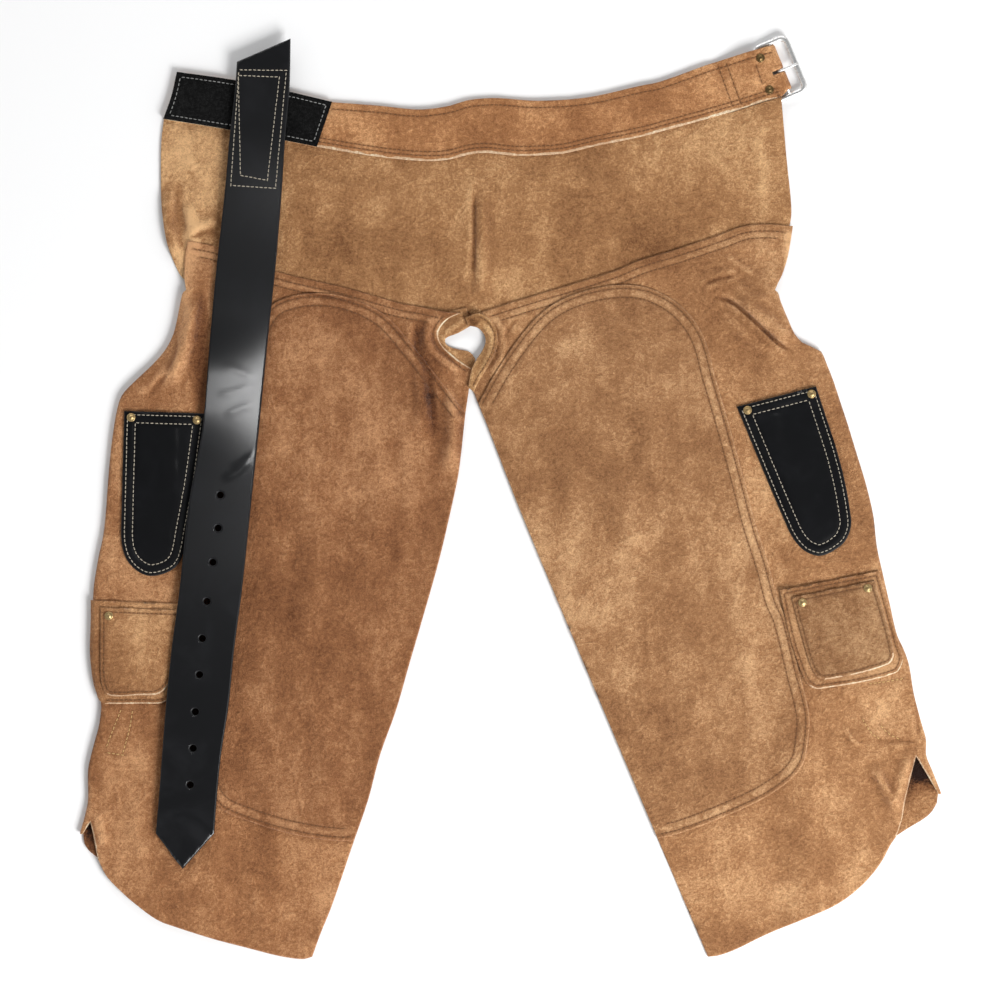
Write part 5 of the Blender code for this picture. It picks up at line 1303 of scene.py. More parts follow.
def crease_lines(name):
    """Lines along the narrow creases and beside them, where they cross a piece's cut."""
    loop = pieces()[name].loop
    found = []
    for crease in CREASES:
        crest = crest_line(crease.crest)
        if crease.half > NARROW or not near_to(crest, loop, 0.0).any():
            continue
        for share in (-0.66, -0.33, 0.0, 0.33, 0.66):
            moved = crest + beside(crest) * (share * crease.half)
            clear = distances(moved, closed(loop)) > CREASE_CLEAR
            found += kept_runs(moved, inside(moved, loop) & clear)
    return found


def groove_lines(name, line):
    """The bottom and the two sides of a seam's groove, as lines of the cut."""
    loop = closed(pieces()[name].loop)
    line = resampled(line, EDGE_STEP * 0.8)
    if len(line) < 3:
        return []
    sides = [line + beside(line) * away for away in (-GROOVE_SIDE, GROOVE_SIDE)]
    return [line] + [moved for moved in sides if (distances(moved, loop) > GROOVE_CLEAR).all()]


def band_line(back):
    """A line across the waistband, from one edge to the other, just inside them."""
    loop = closed(pieces()["waistband"].loop)
    far = bar_place(loop)[0] - back
    ends = []
    for index in np.nonzero(far[:-1] * far[1:] < 0.0)[0]:
        share = far[index] / (far[index] - far[index + 1])
        ends.append(loop[index] + share * (loop[index + 1] - loop[index]))
    ends.sort(key=lambda end: float(bar_place(end)[1][0]))
    return resampled(np.array([ends[0], ends[-1]]), EDGE_STEP)


def ring_faces(rings, sides, is_closed=False):
    """Quads from each ring of corners to the next."""
    faces = []
    for ring in range(rings if is_closed else rings - 1):
        low, high = ring * sides, (ring + 1) % rings * sides
        for side in range(sides):
            after = (side + 1) % sides
            faces.append((low + side, low + after, high + after, high + side))
    return faces


def end_faces(rings, sides):
    """The faces that close the first and the last ring."""
    return [tuple(range(sides))[::-1], tuple(range((rings - 1) * sides, rings * sides))]


def stitch_places(lines):
    """The middle and the direction of each stitch along flat lines, a little uneven."""
    pitch = sizes().stitch_pitch / MM
    middles, runs = [], []
    for line in lines:
        length = np.linalg.norm(np.diff(line, axis=0), axis=1).sum()
        count = max(1, int(length / pitch))
        even = resampled(line, 0.4)
        lengths = np.linspace(0.0, length, len(even))
        at = (np.arange(count) + 0.5) * length / count
        wobble = 0.25 * (swell(np.column_stack((at, at * 0)), 7.0, 5) - 0.5)
        tilt = 0.09 * np.sin(at * 2.1)
        run = points_at(even, lengths, at + 0.6) - points_at(even, lengths, at - 0.6)
        run /= np.maximum(np.linalg.norm(run, axis=1), 1e-9)[:, None]
        middles.append(points_at(even, lengths, at) + across(run) * wobble[:, None])
        runs.append(run + across(run) * tilt[:, None])
    return np.concatenate(middles), np.concatenate(runs)


def stitches(name, lines, place, thread):
    """A small bent capsule of thread for each stitch along flat lines."""
    half = sizes().stitch_length / MM / 2
    radius = sizes().thread_radius / MM
    middle, run = stitch_places(lines)
    corners = []
    for ring in STITCH:
        centre = place(middle + run * ring.share * half, ring.rise * radius)
        for corner in range(STITCH_SIDES):
            angle = math.tau * corner / STITCH_SIDES
            moved = centre.copy()
            moved[:, :2] += across(run) * (math.cos(angle) * radius * ring.girth)
            moved[:, 2] += math.sin(angle) * radius * ring.girth
            corners.append(moved)
    faces = ring_faces(len(STITCH), STITCH_SIDES) + end_faces(len(STITCH), STITCH_SIDES)
    all_faces = [tuple(corner + index * len(corners) for corner in face)
                 for index in range(len(middle)) for face in faces]
    made = mesh_object(name, np.stack(corners, axis=1).reshape(-1, 3), all_faces, [thread])
    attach(made, "apron")


def sew(name):
    """The stitches of one piece, a mesh for each kind of thread."""

    def place(points, up):
        return lay(name, points, pieces()[name].thickness - groove(name, points) + up)

    kinds = {}
    for line, thread in stitch_paths(name):
        kinds.setdefault(thread, []).append(line)
    for thread, lines in kinds.items():
        stitches(f"{name}_{thread}_stitches", lines, place, thread_material(thread))


def surface():
    """A tree of the dressed pieces' faces in millimetres, for finding heights on them."""
    points = []
    faces = []
    for item in bpy.context.scene.objects:
        if item.type != "MESH" or not item.name.endswith("_cloth"):
            continue
        start = len(points)
        corners = np.empty(len(item.data.vertices) * 3)
        item.data.vertices.foreach_get("co", corners)
        points += (corners.reshape(-1, 3) / MM + np.array(ORIGIN)).tolist()
        faces += [[start + corner for corner in face.vertices] for face in item.data.polygons]
    return BVHTree.FromPolygons(points, faces)


def top_at(tree, x, y):
    hit = tree.ray_cast(Vector((x, y, 100.0)), Vector((0.0, 0.0, -1.0)))[0]
    return hit.z if hit else 0.0


def evened(heights):
    """Each height averaged with its two neighbours."""
    padded = np.concatenate((heights[:1], heights, heights[-1:]))
    return (padded[:-2] + padded[1:-1] + padded[2:]) / 3


def crossed_height(tree, y):
    """The highest point under the strap at a height of the plan."""
    left, right = strap_edges(y)
    columns = range(-1, int((right - left) / STRAP_SAMPLES) + 2)
    return max(top_at(tree, left + column * STRAP_SAMPLES, y + row * STRAP_SAMPLES)
               for row in range(-2, 3) for column in columns)


@functools.cache
def strap_profile():
    """Stations down the strap with the height of its underside, clear of all that it crosses."""
    tree = surface()
    tape_low = min(y for _, y in HOOK_TAPE)
    count = math.ceil((STRAP_TOP[1][1] - STRAP_TIP[1]) / STATION)
    stations = np.array([STRAP_TOP[1][1] - index * STATION for index in range(count + 1)])
    crossed = [crossed_height(tree, y) + (TAPE + 2 * GAP if y > tape_low - STATION else GAP)
               for y in stations]
    crossed = np.array([max(crossed[max(index - 1, 0):index + 2]) for index in range(len(crossed))])
    heights = crossed
    for _ in range(STRAP_STIFFNESS):
        heights = np.maximum(crossed, evened(heights))
    for _ in range(STRAP_STIFFNESS // 4):
        heights = evened(heights)
    heights = heights + max(0.0, (crossed - heights).max())
    curve = smooth_run(np.column_stack((stations, heights)), 1.0)[::-1]
    return curve[:, 0], curve[:, 1]


def strap_edges(y):
    """Left and right edge of the belt strap at a height of the plan."""
    levels = [row.y for row in STRAP][::-1]
    return (np.interp(y, levels, [row.left for row in STRAP][::-1]),
            np.interp(y, levels, [row.right for row in STRAP][::-1]))


def lay_strap(points, height):
    """Lay the strap on its profile, with soft humps, its wrinkles and its twist."""
    z = np.interp(points[:, 1], *strap_profile()) + 0.25 * swell(points, 90.0, 21)
    for crease in STRAP_CREASES:
        z = z + fold_height(points, crease)
    (start, full), (held, end), slope = TWIST
    share = eased((start - points[:, 1]) / (start - full)) * eased((points[:, 1] - end) / (held - end))
    z = z + slope * share * np.maximum(strap_edges(points[:, 1])[1] - points[:, 0], 0.0)
    return np.column_stack((points, z + height))


def lay_tape(points, height):
    return np.column_stack((points, np.interp(points[:, 1], *strap_profile()) - GAP - TAPE + height))


def strap_loop():
    left = [STRAP_TOP[0]] + [(row.left, row.y) for row in STRAP]
    right = [(row.right, row.y) for row in reversed(STRAP)] + [STRAP_TOP[1]]
    return outline(left, [left[-1], STRAP_TIP], [STRAP_TIP, right[0]], right, [right[-1], left[0]])


def round_hole(x, y, radius, sides=24):
    angles = np.arange(sides) * math.tau / sides
    return np.column_stack((x + radius * np.cos(angles), y + radius * np.sin(angles)))


def turned(name, profile, sides, materials, place):
    """A solid turned about the vertical, from (radius, height) points in millimetres."""
    points = []
    for radius, height in profile[:-1]:
        for side in range(sides):
            angle = math.tau * side / sides
            points.append((place[0] + radius * math.cos(angle), place[1] + radius * math.sin(angle),
                           place[2] + height))
    points.append((place[0], place[1], place[2] + profile[-1][1]))
    rings = len(profile) - 1
    last = (rings - 1) * sides
    faces = end_faces(rings, sides)[:1] + ring_faces(rings, sides)
    faces += [(last + side, last + (side + 1) % sides, rings * sides) for side in range(sides)]
    return mesh_object(name, points, faces, materials)


def bar_axes():
    """The buckle's own axes: along, across and down, tilted about its bar."""
    x, y = BAR_MIDDLE
    return Matrix((
        (ALONG.x, ACROSS.x, 0.0, x), (ALONG.y, ACROSS.y, 0.0, y), (0.0, 0.0, -1.0, BAR_HEIGHT),
        (0.0, 0.0, 0.0, 1.0),
    )) @ Matrix.Rotation(FRAME_TILT, 4, "Y")


def tube(points, half_width, half_height, sides, is_closed):
    """Points and faces of an oval bar along a path in the buckle's flat plane."""
    rings = []
    count = len(points)
    for index, point in enumerate(points):
        if is_closed:
            before, after = points[index - 1], points[(index + 1) % count]
        else:
            before, after = points[max(index - 1, 0)], points[min(index + 1, count - 1)]
        run = (after - before).normalized()
        side = Vector((run.y, -run.x, 0.0))
        for step in range(sides):
            angle = math.tau * step / sides
            rings.append(point + side * (half_width * math.cos(angle))
                         + Vector((0.0, 0.0, half_height * math.sin(angle))))
    faces = ring_faces(count, sides, is_closed)
    return rings, faces if is_closed else faces + end_faces(count, sides)


def outward(points, faces):
    """The faces, all turned round if they enclose a negative volume."""
    volume = 0.0
    for face in faces:
        for index in range(1, len(face) - 1):
            a, b, c = points[face[0]], points[face[index]], points[face[index + 1]]
            volume += Vector(a).dot(Vector(b).cross(Vector(c)))
    return faces if volume > 0.0 else [tuple(reversed(face)) for face in faces]


def socket_kind(value):
    if isinstance(value, (tuple, list)):
        return "NodeSocketColor"
    return "NodeSocketFloat"


SURFACE = {"Colour": "NodeSocketColor", "Roughness": "NodeSocketFloat", "Height": "NodeSocketFloat"}


def new_group(name, inputs):
    """A node group with named inputs (with defaults) and a surface's outputs, and object coordinates."""
    group = bpy.data.node_groups.new(name, "ShaderNodeTree")
    for label, value in inputs.items():
        made = group.interface.new_socket(label, in_out="INPUT", socket_type=socket_kind(value))
        made.default_value = (*value, 1.0) if isinstance(value, (tuple, list)) else value
    for label, kind in SURFACE.items():
        group.interface.new_socket(label, in_out="OUTPUT", socket_type=kind)
    given = group.nodes.new("NodeGroupInput").outputs
    return group, given, put(group, "ShaderNodeTexCoord").outputs["Object"]


def finished(group, *results):
    """The group, with its colour, roughness and height joined to its outputs."""
    wanted = group.nodes.new("NodeGroupOutput")
    for label, value in zip(SURFACE, results):
        group.links.new(value, wanted.inputs[label])
    return group


def put(tree, kind, settings=None, **inputs):
    """A node with its settings, and its inputs set to values or joined to other sockets."""
    made = tree.nodes.new(kind)
    for key, value in (settings or {}).items():
        setattr(made, key, value)
    for key, value in inputs.items():
        socket = made.inputs[int(key[1:])] if key[0] == "_" and key[1:].isdigit() else made.inputs[
            key.replace("_", " ")]
        if isinstance(value, bpy.types.NodeSocket):
            tree.links.new(value, socket)
        elif isinstance(value, (tuple, list)) and len(value) == 3 and socket.type == "RGBA":
            socket.default_value = (*value, 1.0)
        else:
            socket.default_value = value
    return made


def noise(tree, place, scale, detail=3.0, roughness=0.55, distortion=0.0):
    made = put(tree, "ShaderNodeTexNoise", Vector=place, Scale=scale, Detail=detail,
               Roughness=roughness, Distortion=distortion)
    return made.outputs["Fac"]


def ramp(tree, value, low, high):
    """A value stretched so that low gives 0 and high gives 1."""
    return put(tree, "ShaderNodeMapRange", {"interpolation_type": "SMOOTHSTEP"}, Value=value,
               From_Min=low, From_Max=high).outputs["Result"]


def mixed(tree, share, a, b, kind="MIX"):
    made = put(tree, "ShaderNodeMix", {"data_type": "RGBA", "blend_type": kind})
    for socket, value in ((made.inputs[0], share), (made.inputs[6], a), (made.inputs[7], b)):
        if isinstance(value, bpy.types.NodeSocket):
            tree.links.new(value, socket)
        elif isinstance(value, (tuple, list)):
            socket.default_value = (*value[:3], 1.0)
        else:
            socket.default_value = value
    return made.outputs[2]


def worked(tree, operation, a, b=0.0):
    return put(tree, "ShaderNodeMath", {"operation": operation}, _0=a, _1=b).outputs[0]


def summed(tree, *parts):
    """The sum of some values, each times its weight."""
    terms = [worked(tree, "MULTIPLY", value, weight) for value, weight in parts]
    return functools.reduce(functools.partial(worked, tree, "ADD"), terms)


@functools.cache
def suede_nap():
    """Nap of split leather: blotches, brushed patches, specks and fibres, and the mesh's painted light: paler
    crests, darker hollows that go near black where deepest, and shade along the rows of stitches.
    """
    group, given, place = new_group("suede nap", {
        "Colour": (0.4, 0.19, 0.08), "Dark": (0.2, 0.08, 0.03), "Light": (0.6, 0.36, 0.18),
        "Blotches": 1.0, "Specks": 1.0})
    tone_and_light_mark, groove_shade_mark = (
        put(group, "ShaderNodeAttribute", {"attribute_name": mark}).outputs["Fac"]
        for mark in ("paleness", "seam"))
    brushed = put(group, "ShaderNodeMapping", Vector=place, Scale=(3.2, 1.0, 1.0)).outputs[0]
    large = ramp(group, noise(group, place, 7.0, 3.5, 0.55, 0.4), 0.3, 0.7)
    middle = ramp(group, noise(group, place, 24.0, 2.5, 0.5, 0.3), 0.28, 0.72)
    streaks = ramp(group, noise(group, brushed, 16.0, 3.0, 0.55, 0.3), 0.3, 0.7)
    small = ramp(group, noise(group, place, 110.0, 5.0, 0.7, 0.2), 0.32, 0.68)
    grain = ramp(group, noise(group, place, 330.0, 4.0, 0.7), 0.34, 0.66)
    specks = ramp(group, noise(group, place, 900.0, 3.0, 0.7), 0.36, 0.66)
    fibres = noise(group, place, 2400.0, 2.0, 0.6)

    def centred(value):
        return worked(group, "SUBTRACT", value, 0.5)

    tone = summed(group, (large, 0.72), (middle, 0.4), (streaks, 0.36), (small, 0.36))
    tone = worked(group, "MULTIPLY", worked(group, "SUBTRACT", tone, 0.92), given["Blotches"])
    fine = summed(group, (centred(grain), 0.5), (centred(specks), 0.5))
    for more in (worked(group, "MULTIPLY", fine, given["Specks"]),
                 worked(group, "MULTIPLY", centred(fibres), 0.8), tone_and_light_mark):
        tone = worked(group, "ADD", tone, more)
    depth = worked(group, "MULTIPLY", tone, -1.0)
    lighter, darker, deepest = (
        put(group, "ShaderNodeClamp", Value=value).outputs[0]
        for value in (tone, depth, worked(group, "SUBTRACT", depth, 1.0)))
    colour = mixed(group, lighter, given["Colour"], given["Light"])
    colour = mixed(group, darker, colour, given["Dark"])
    # Painted shade: where the tone falls below -1, mostly from the marks' painted shade, the colour goes
    # towards near black.
    colour = mixed(group, deepest, colour, (0.1, 0.07, 0.06), "MULTIPLY")
    # Painted shade along the rows of stitches, in their grooves.
    colour = mixed(group, worked(group, "MULTIPLY", groove_shade_mark, 0.62), colour, given["Dark"])
    height = summed(group, (specks, 0.4), (fibres, 0.4), (grain, 0.9), (small, 1.4))
    rough = worked(group, "ADD", worked(group, "MULTIPLY", small, 0.08), 0.88)
    return finished(group, colour, rough, height)


@functools.cache
def leather_face():
    """Finished black leather: faint colour changes, pores and scuffs."""
    group, given, place = new_group("leather face", {
        "Colour": (0.006, 0.006, 0.007), "Scuffed": (0.03, 0.03, 0.032), "Gloss": 0.3})
    cloudy = ramp(group, noise(group, place, 26.0, 5.0, 0.6, 0.5), 0.42, 0.75)
    pores = noise(group, place, 900.0, 3.0, 0.6)
    grain = put(group, "ShaderNodeTexVoronoi", {"feature": "DISTANCE_TO_EDGE"}, Vector=place, Scale=520.0)
    scuffs = ramp(group, noise(group, place, 60.0, 5.0, 0.6, 0.2), 0.66, 0.95)
    colour = mixed(group, worked(group, "MULTIPLY", cloudy, 0.5), given["Colour"], given["Scuffed"])
    colour = mixed(group, worked(group, "MULTIPLY", scuffs, 0.3), colour, given["Scuffed"])
    rough = worked(group, "ADD", given["Gloss"], worked(group, "MULTIPLY", cloudy, 0.1))
    rough = worked(group, "ADD", rough, worked(group, "MULTIPLY", scuffs, 0.14))
    height = worked(group, "ADD", worked(group, "MULTIPLY", pores, 0.5),
                    worked(group, "MINIMUM", grain.outputs["Distance"], 0.12))
    return finished(group, colour, rough, height)


@functools.cache
def worn_metal():
    """Old plating: patina in the low spots and fine scratches."""
    group, given, place = new_group("worn metal", {
        "Colour": (0.6, 0.6, 0.6), "Patina": (0.2, 0.2, 0.2), "Roughness": 0.3})
    spots = ramp(group, noise(group, place, 420.0, 5.0, 0.65, 0.6), 0.45, 0.68)
    fine = noise(group, place, 2600.0, 2.0, 0.6)
    colour = mixed(group, worked(group, "MULTIPLY", spots, 0.75), given["Colour"], given["Patina"])
    rough = worked(group, "ADD", given["Roughness"], worked(group, "MULTIPLY", spots, 0.25))
    return finished(group, colour, rough, worked(group, "ADD", fine, spots))


def material(name, group, inputs, bump, **fixed):
    """A Principled material fed by a shared group; `fixed` are the shader's own values."""
    if name in bpy.data.materials:
        return bpy.data.materials[name]
    made = bpy.data.materials.new(name)
    made.use_nodes = True
    tree = made.node_tree
    shader = tree.nodes["Principled BSDF"]
    face = put(tree, "ShaderNodeGroup", {"node_tree": group})
    for key, value in inputs.items():
        face.inputs[key].default_value = (*value, 1.0) if isinstance(value, (tuple, list)) else value
    strength, distance = bump
    relief = put(tree, "ShaderNodeBump", Strength=strength, Distance=distance, Height=face.outputs["Height"])
    tree.links.new(face.outputs["Colour"], shader.inputs["Base Color"])
    tree.links.new(face.outputs["Roughness"], shader.inputs["Roughness"])
    tree.links.new(relief.outputs["Normal"], shader.inputs["Normal"])
    for key, value in fixed.items():
        shader.inputs[key.replace("_", " ")].default_value = value
    return made


def shaded(colour, factor):
    return tuple(min(1.0, part * amount) for part, amount in zip(colour, factor))


# How each suede piece differs from the main colour: red, green and blue, and its blotches
Tint = namedtuple("Tint", "red green blue blotches")
TINTS = {
    "yoke": Tint(1.08, 1.1, 1.08, 1.0),
    "waistband": Tint(1.16, 1.08, 1.02, 0.9),
    "left_leg": Tint(0.92, 0.83, 0.8, 1.0),
    "left_thigh_patch": Tint(0.8, 0.7, 0.67, 1.0),
    "right_leg": Tint(1.06, 1.05, 1.05, 0.9),
    "right_thigh_patch": Tint(0.99, 1.0, 1.02, 0.9),
    "left_crotch_binding": Tint(1.08, 1.12, 1.1, 0.8),
    "right_crotch_binding": Tint(1.12, 1.19, 1.15, 0.8),
    "left_suede_pocket": Tint(1.02, 0.99, 0.97, 0.9),
    "left_suede_pocket_top": Tint(1.0, 0.98, 0.96, 0.9),
    "right_suede_pocket": Tint(0.9, 0.87, 0.85, 0.9),
    "right_suede_pocket_top": Tint(0.76, 0.76, 0.76, 1.1),
    "leg_strap": Tint(1.0, 1.0, 1.0, 0.8),
}
# Darkest and palest shade of a suede, as shares of its colour
DARK_NAP = (0.46, 0.38, 0.33)
PALE_NAP = (1.95, 2.4, 2.85)


def nap(label, colour, dark, light, specks, bump, **fixed):
    """A material with the nap's group: its colours, blotches and specks, and its bump."""
    inputs = {"Colour": colour, "Dark": dark, "Light": light, "Blotches": specks[0], "Specks": specks[1]}
    return material(label, suede_nap(), inputs, bump, **fixed)


def suede(name):
    """Face, back, plain cut edge and pale cut edge of one suede piece."""
    tint = TINTS[name]
    main = shaded(colours().suede, tint[:3])
    return [
        nap(label, colour, shaded(colour, DARK_NAP), shaded(colour, PALE_NAP), specks,
            (strength, 0.9 * MM), Sheen_Weight=0.12, Sheen_Roughness=0.5, Specular_IOR_Level=0.1)
        for label, colour, specks, strength in (
            (f"{name} suede", main, (tint.blotches, 1.0), 0.8),
            (f"{name} suede back", shaded(main, (0.95, 0.93, 0.9)), (0.7, 1.2), 0.9),
            (f"{name} suede cut", shaded(main, (1.14, 1.2, 1.28)), (0.6, 1.2), 0.7),
            ("pale suede cut", tuple(colours().raw_suede), (0.5, 1.0), 0.7))
    ]


def black_leather(name, gloss, coat, specular):
    """Face, flesh side and cut edge of a black leather piece."""
    black = tuple(colours().black_leather)
    face = material(
        f"{name} leather", leather_face(),
        {"Colour": black, "Scuffed": shaded(black, (2.2, 2.2, 2.3)), "Gloss": gloss},
        (0.08, 0.2 * MM), Coat_Weight=coat, Coat_Roughness=0.14, Specular_IOR_Level=specular)
    back = nap("leather flesh side", (0.05, 0.035, 0.03), (0.02, 0.015, 0.013), (0.1, 0.08, 0.07),
               (0.8, 1.0), (0.8, 0.5 * MM), Specular_IOR_Level=0.1)
    edge = material(
        f"{name} leather edge", leather_face(),
        {"Colour": shaded(black, (1.3, 1.3, 1.3)), "Scuffed": shaded(black, (3.0, 3.0, 3.0)),
         "Gloss": gloss + 0.15},
        (0.2, 0.25 * MM), Specular_IOR_Level=0.35)
    return [face, back, edge]


def tape_material():
    """The pile of the black tape, on all its sides."""
    return [nap("black loop pile", (0.005, 0.005, 0.005), (0.002, 0.002, 0.002), (0.016, 0.016, 0.016),
                (0.5, 2.2), (1.0, 0.8 * MM), Specular_IOR_Level=0.1)] * 3


def thread_material(kind):
    """One kind of thread: brown, gold, pale or grey."""
    colour = tuple(getattr(colours(), f"{kind}_thread"))
    return nap(f"{kind} thread", colour, shaded(colour, (0.6, 0.6, 0.6)), shaded(colour, (1.2, 1.2, 1.2)),
               (0.6, 0.8), (0.4, 0.2 * MM), Specular_IOR_Level=0.3)


# Lights: place and size in metres, and power in watts
Light = namedtuple("Light", "name place size power")
LIGHTS = (
    Light("key window", (1.5, -1.7, 1.9), (1.3, 1.3), 104.0),
    Light("north fill", (-0.2, 3.0, 1.5), (3.0, 1.0), 30.0),
    Light("belt sheen", (-0.235, 0.18, 2.4), (0.12, 0.1), 1.4),
)
# The sky's colour near the horizon and overhead
HORIZON = (1.0, 1.0, 1.0)
ZENITH = (0.05, 0.052, 0.057)
LENS = 118.7
SENSOR = 36.0


class APRON_OT_stage(Operator):
    """Floor, lights and the camera straight above the apron"""
    bl_idname = "apron.stage"
    bl_label = "Stage"

    def execute(self, context):
        made = bpy.data.meshes.new("apron_floor")
        made.from_pydata([(-6, -6, 0), (6, -6, 0), (6, 6, 0), (-6, 6, 0)], [], [(0, 1, 2, 3)])
        floor = bpy.data.objects.new("apron_floor", made)
        context.scene.collection.objects.link(floor)
        pale = bpy.data.materials.new("pale floor")
        pale.use_nodes = True
        shader = pale.node_tree.nodes["Principled BSDF"]
        shader.inputs["Base Color"].default_value = (*colours().floor[:], 1.0)
        shader.inputs["Roughness"].default_value = 0.9
        shader.inputs["Specular IOR Level"].default_value = 0.1
        made.materials.append(pale)

        world = bpy.data.worlds.new("soft studio")
        context.scene.world = world
        world.use_nodes = True
        tree = world.node_tree
        way = put(tree, "ShaderNodeTexCoord").outputs["Generated"]
        up = put(tree, "ShaderNodeSeparateXYZ", Vector=way).outputs["Z"]
        sky = mixed(tree, ramp(tree, up, 0.35, 0.85), HORIZON, ZENITH)
        tree.links.new(sky, tree.nodes["Background"].inputs["Color"])
        tree.nodes["Background"].inputs["Strength"].default_value = 1.0
        for window in LIGHTS:
            light = bpy.data.lights.new(window.name, "AREA")
            light.energy = window.power
            light.shape = "RECTANGLE"
            light.size, light.size_y = window.size
            holder = bpy.data.objects.new(window.name, light)
            holder.location = window.place
            holder.rotation_euler = (-Vector(window.place)).to_track_quat("-Z", "Y").to_euler()
            context.scene.collection.objects.link(holder)

        lens = bpy.data.cameras.new("camera")
        lens.lens = LENS
        lens.sensor_width = SENSOR
        lens.clip_end = 50.0
        camera = bpy.data.objects.new("camera", lens)
        camera.location = (-9.6 * MM, -2.5 * MM, sizes().camera_height)
        context.scene.collection.objects.link(camera)
        context.scene.camera = camera
        context.scene.view_settings.view_transform = "Standard"
        return {"FINISHED"}


class APRON_OT_yoke(Operator):
    """The yoke across the hips and the waistband on its top edge"""
    bl_idname = "apron.yoke"
    bl_label = "Yoke and Waistband"

    def execute(self, context):
        face, back, _, _ = suede("yoke")
        dress("yoke", [face, back, face], edge=0.8)
        dress("waistband", suede("waistband"), edge=2.1)
        sew("waistband")
        return {"FINISHED"}


class APRON_OT_tape(Operator):
    """The loop pad on the waistband's left end"""
    bl_idname = "apron.tape"
    bl_label = "Loop Pad"

    def execute(self, context):
        dress("loop_pad", tape_material(), slot="hook_and_loop", edge=0.5)
        sew("loop_pad")
        return {"FINISHED"}


class APRON_OT_legs(Operator):
    """Both legs with their folded outer edges and open vents"""
    bl_idname = "apron.legs"
    bl_label = "Legs"

    def execute(self, context):
        for side in ("left", "right"):
            dress(f"{side}_leg", suede(f"{side}_leg"))
            sew(f"{side}_leg")
            make_leg_strap(f"{side}_leg_strap")
        return {"FINISHED"}


def make_leg_strap(node):
    """A short strap tucked flat between a leg's front and its flap."""
    strap = LEG_STRAPS[node]
    low, high = sorted((strap.outer, strap.inner))
    loop = polygon([(low, strap.bottom), (high, strap.bottom), (high, strap.top), (low, strap.top)])
    flat, faces = cut(loop, (), (), LATTICE)

    def place(points, height):
        return np.column_stack((points, SUEDE + GAP + height))

    made = shell(node + "_cloth", flat, faces, place, SUEDE, suede("leg_strap"), 0.8)
    stand_for(made, node)


class APRON_OT_patches(Operator):
    """The thigh patches and the bindings round the crotch opening"""
    bl_idname = "apron.patches"
    bl_label = "Patches and Bindings"

    def execute(self, context):
        for name, under in (("left_crotch_binding", "yoke"), ("left_thigh_patch", "left_leg"),
                            ("right_thigh_patch", "right_leg"), ("right_crotch_binding", "right_leg")):
            dress(name, suede(name))
            sew(name)
        return {"FINISHED"}


class APRON_OT_pockets(Operator):
    """The black knife pockets and the layered suede pockets"""
    bl_idname = "apron.pockets"
    bl_label = "Pockets"

    def execute(self, context):
        for side in ("left", "right"):
            name = f"{side}_knife_pocket"
            dress(name, black_leather("knife pocket", 0.4, 0.03, 0.14), slot="black_leather",
                  edge=0.9)
            sew(name)
            for name, under in ((f"{side}_suede_pocket", f"{side}_leg"),
                                (f"{side}_suede_pocket_top", f"{side}_suede_pocket")):
                dress(name, suede(name))
                sew(name)
        return {"FINISHED"}


class APRON_OT_strap(Operator):
    """The black belt strap with its punched holes, and the hook tape under its end"""
    bl_idname = "apron.strap"
    bl_label = "Belt Strap"

    def execute(self, context):
        holes = [round_hole(x, y, HOLE_RADIUS) for x, y in STRAP_HOLES]
        rings = [closed(round_hole(x, y, HOLE_RADIUS + more, 32))
                 for x, y in STRAP_HOLES for more in HOLE_RINGS]
        rings += [resampled(np.array([(row.left + STRAP_SIDE, row.y) for row in STRAP]), EDGE_STEP),
                  resampled(np.array([(row.right - STRAP_SIDE, row.y) for row in STRAP]), EDGE_STEP)]
        strap = cut(strap_loop(), holes, rings, LATTICE)
        tape = cut(polygon(HOOK_TAPE), (), (), LATTICE)
        for node, slot, (flat, faces), place, thickness, materials, edge in (
            ("belt_strap", "black_leather", strap, lay_strap, STRAP_LEATHER,
             black_leather("belt", 0.34, 0.9, 0.3), 0.9),
            ("hook_tape", "hook_and_loop", tape, lay_tape, TAPE, tape_material(), 0.4),
        ):
            made = shell(node + "_cloth", flat, faces, place, thickness, materials, edge, straight=True)
            stand_for(made, node, slot)
            float(plan_area(flat, faces)) * MM * MM
        lines = [np.concatenate([resampled(table(side), ROW_STEP)[:-1] for side in zip(row, row[1:])])
                 for row in STRAP_ROWS]
        stitches("belt_strap_stitches", lines, lambda points, up: lay_strap(points, STRAP_LEATHER + up),
                 thread_material("pale"))
        return {"FINISHED"}


class APRON_OT_rivets(Operator):
    """Antique brass rivets on the waistband and the pockets"""
    bl_idname = "apron.rivets"
    bl_label = "Rivets"

    def execute(self, context):
        tree = surface()
        bright, dark = (
            material(label, worn_metal(), {"Colour": colour, "Patina": patina, "Roughness": 0.36},
                     (0.3, 0.2 * MM), Metallic=1.0)
            for label, colour, patina in (
                ("antique brass", (0.5, 0.36, 0.17), (0.2, 0.13, 0.06)),
                ("dark antique brass", (0.2, 0.13, 0.055), (0.05, 0.03, 0.015))))
        r = RIVET_RADIUS
        profile = [(r - 0.3, 0.0), (r, 0.25), (r, 0.6), (r - 0.5, 1.05), (r * 0.72, 1.45), (r * 0.66, 1.3),
                   (r * 0.6, 1.35), (r * 0.42, 1.9), (r * 0.2, 2.25), (0.0, RIVET_HEIGHT)]
        for name, (x, y) in RIVETS.items():
            around = [top_at(tree, x + r * math.cos(angle), y + r * math.sin(angle))
                      for angle in np.linspace(0.0, math.tau, 13)]
            seat = max(around + [top_at(tree, x, y)]) - 0.2
            made = turned(name + "_cap", profile, 40, [dark if "waist" in name else bright], (x, y, seat))
            stand_for(made, name, "brass")
        return {"FINISHED"}


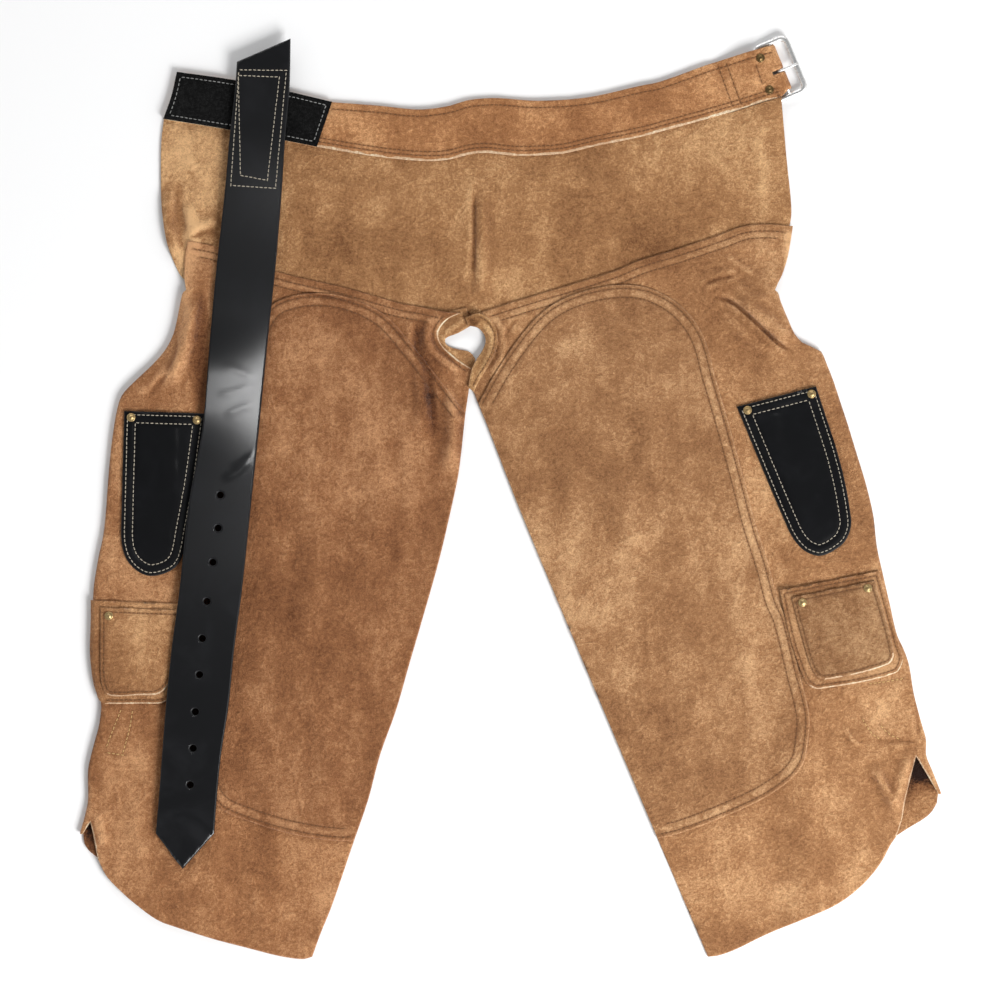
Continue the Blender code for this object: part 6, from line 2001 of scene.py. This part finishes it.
class APRON_OT_buckle(Operator):
    """The buckle's plated frame with its centre bar, and its prong"""
    bl_idname = "apron.buckle"
    bl_label = "Buckle"

    def execute(self, context):
        silver = material(
            "silver plate", worn_metal(),
            {"Colour": (0.86, 0.86, 0.85), "Patina": (0.55, 0.53, 0.5), "Roughness": 0.4},
            (0.03, 0.1 * MM), Metallic=1.0)
        axes = bar_axes()
        half_along = FRAME_WIDTH / 2 - FRAME_FACE
        half_across = FRAME_LENGTH / 2 - FRAME_FACE
        path = []
        for sign_along, sign_across, start in ((1, 1, 0), (-1, 1, 90), (-1, -1, 180), (1, -1, 270)):
            for step in range(10):
                angle = math.radians(start + 10.0 * step)
                path.append(Vector((
                    sign_along * (half_along - FRAME_CORNER) + FRAME_CORNER * math.cos(angle),
                    FRAME_SHIFT + sign_across * (half_across - FRAME_CORNER) + FRAME_CORNER * math.sin(angle),
                    0.0)))
        points, faces = tube(path, FRAME_FACE, FRAME_WIRE, 20, True)
        ends = [Vector((0.0, FRAME_SHIFT + sign * half_across, 0.0)) for sign in (-1, 1)]
        bar_points, bar_faces = tube(ends, BAR_RADIUS, BAR_RADIUS, 20, False)
        faces = outward(points, faces) + [
            tuple(corner + len(points) for corner in face) for face in outward(bar_points, bar_faces)]
        points = [axes @ point for point in points + bar_points]
        made = mesh_object("buckle_frame_metal", points, faces, [silver])
        stand_for(made, "buckle_frame", "silver", "buckle")

        middle = PRONG_INSIDE + PRONG_THICK / 2
        path = [Vector((PRONG_REACH, middle + PRONG_RISE, 0.0)), Vector((12.0, middle + PRONG_RISE, 0.0))]
        path += [Vector((middle * math.cos(angle), middle * math.sin(angle), 0.0))
                 for angle in np.radians(np.arange(90.0, 361.0 + PRONG_CURL, 10.0))]
        points, faces = tube(path, PRONG_THICK / 2, PRONG_WIDTH / 2, 16, False)
        points = [axes @ Vector((point.x, PRONG_SHIFT + point.z, -point.y)) for point in points]
        made = mesh_object("buckle_prong_metal", points, outward(points, faces), [silver])
        stand_for(made, "buckle_prong", "silver", "prong")
        return {"FINISHED"}


class APRON_PT_pieces(Panel):
    """Lists the apron's pieces in the sidebar"""
    bl_idname = "APRON_PT_pieces"
    bl_label = "Farrier Apron"
    bl_space_type = "VIEW_3D"
    bl_region_type = "UI"
    bl_category = "Apron"

    def draw(self, context):
        layout = self.layout
        for settings in (context.scene.apron_sizes, context.scene.apron_colours):
            box = layout.box()
            for key in settings.bl_rna.properties.keys():
                if key not in ("rna_type", "name"):
                    box.prop(settings, key)
        for operator in OPERATORS:
            layout.operator(operator.bl_idname)


OPERATORS = (APRON_OT_stage, APRON_OT_yoke, APRON_OT_tape, APRON_OT_legs, APRON_OT_patches,
             APRON_OT_pockets, APRON_OT_strap, APRON_OT_rivets, APRON_OT_buckle)
CLASSES = (ApronSizes, ApronColours, *OPERATORS, APRON_PT_pieces)


def register():
    for item in CLASSES:
        bpy.utils.register_class(item)
    bpy.types.Scene.apron_sizes = PointerProperty(type=ApronSizes)
    bpy.types.Scene.apron_colours = PointerProperty(type=ApronColours)


def unregister():
    del bpy.types.Scene.apron_colours
    del bpy.types.Scene.apron_sizes
    for item in reversed(CLASSES):
        bpy.utils.unregister_class(item)


def main():
    register()
    for operator in OPERATORS:
        group, name = operator.bl_idname.split(".")
        getattr(getattr(bpy.ops, group), name)()
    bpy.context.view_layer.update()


if __name__ == "__main__":
    main()
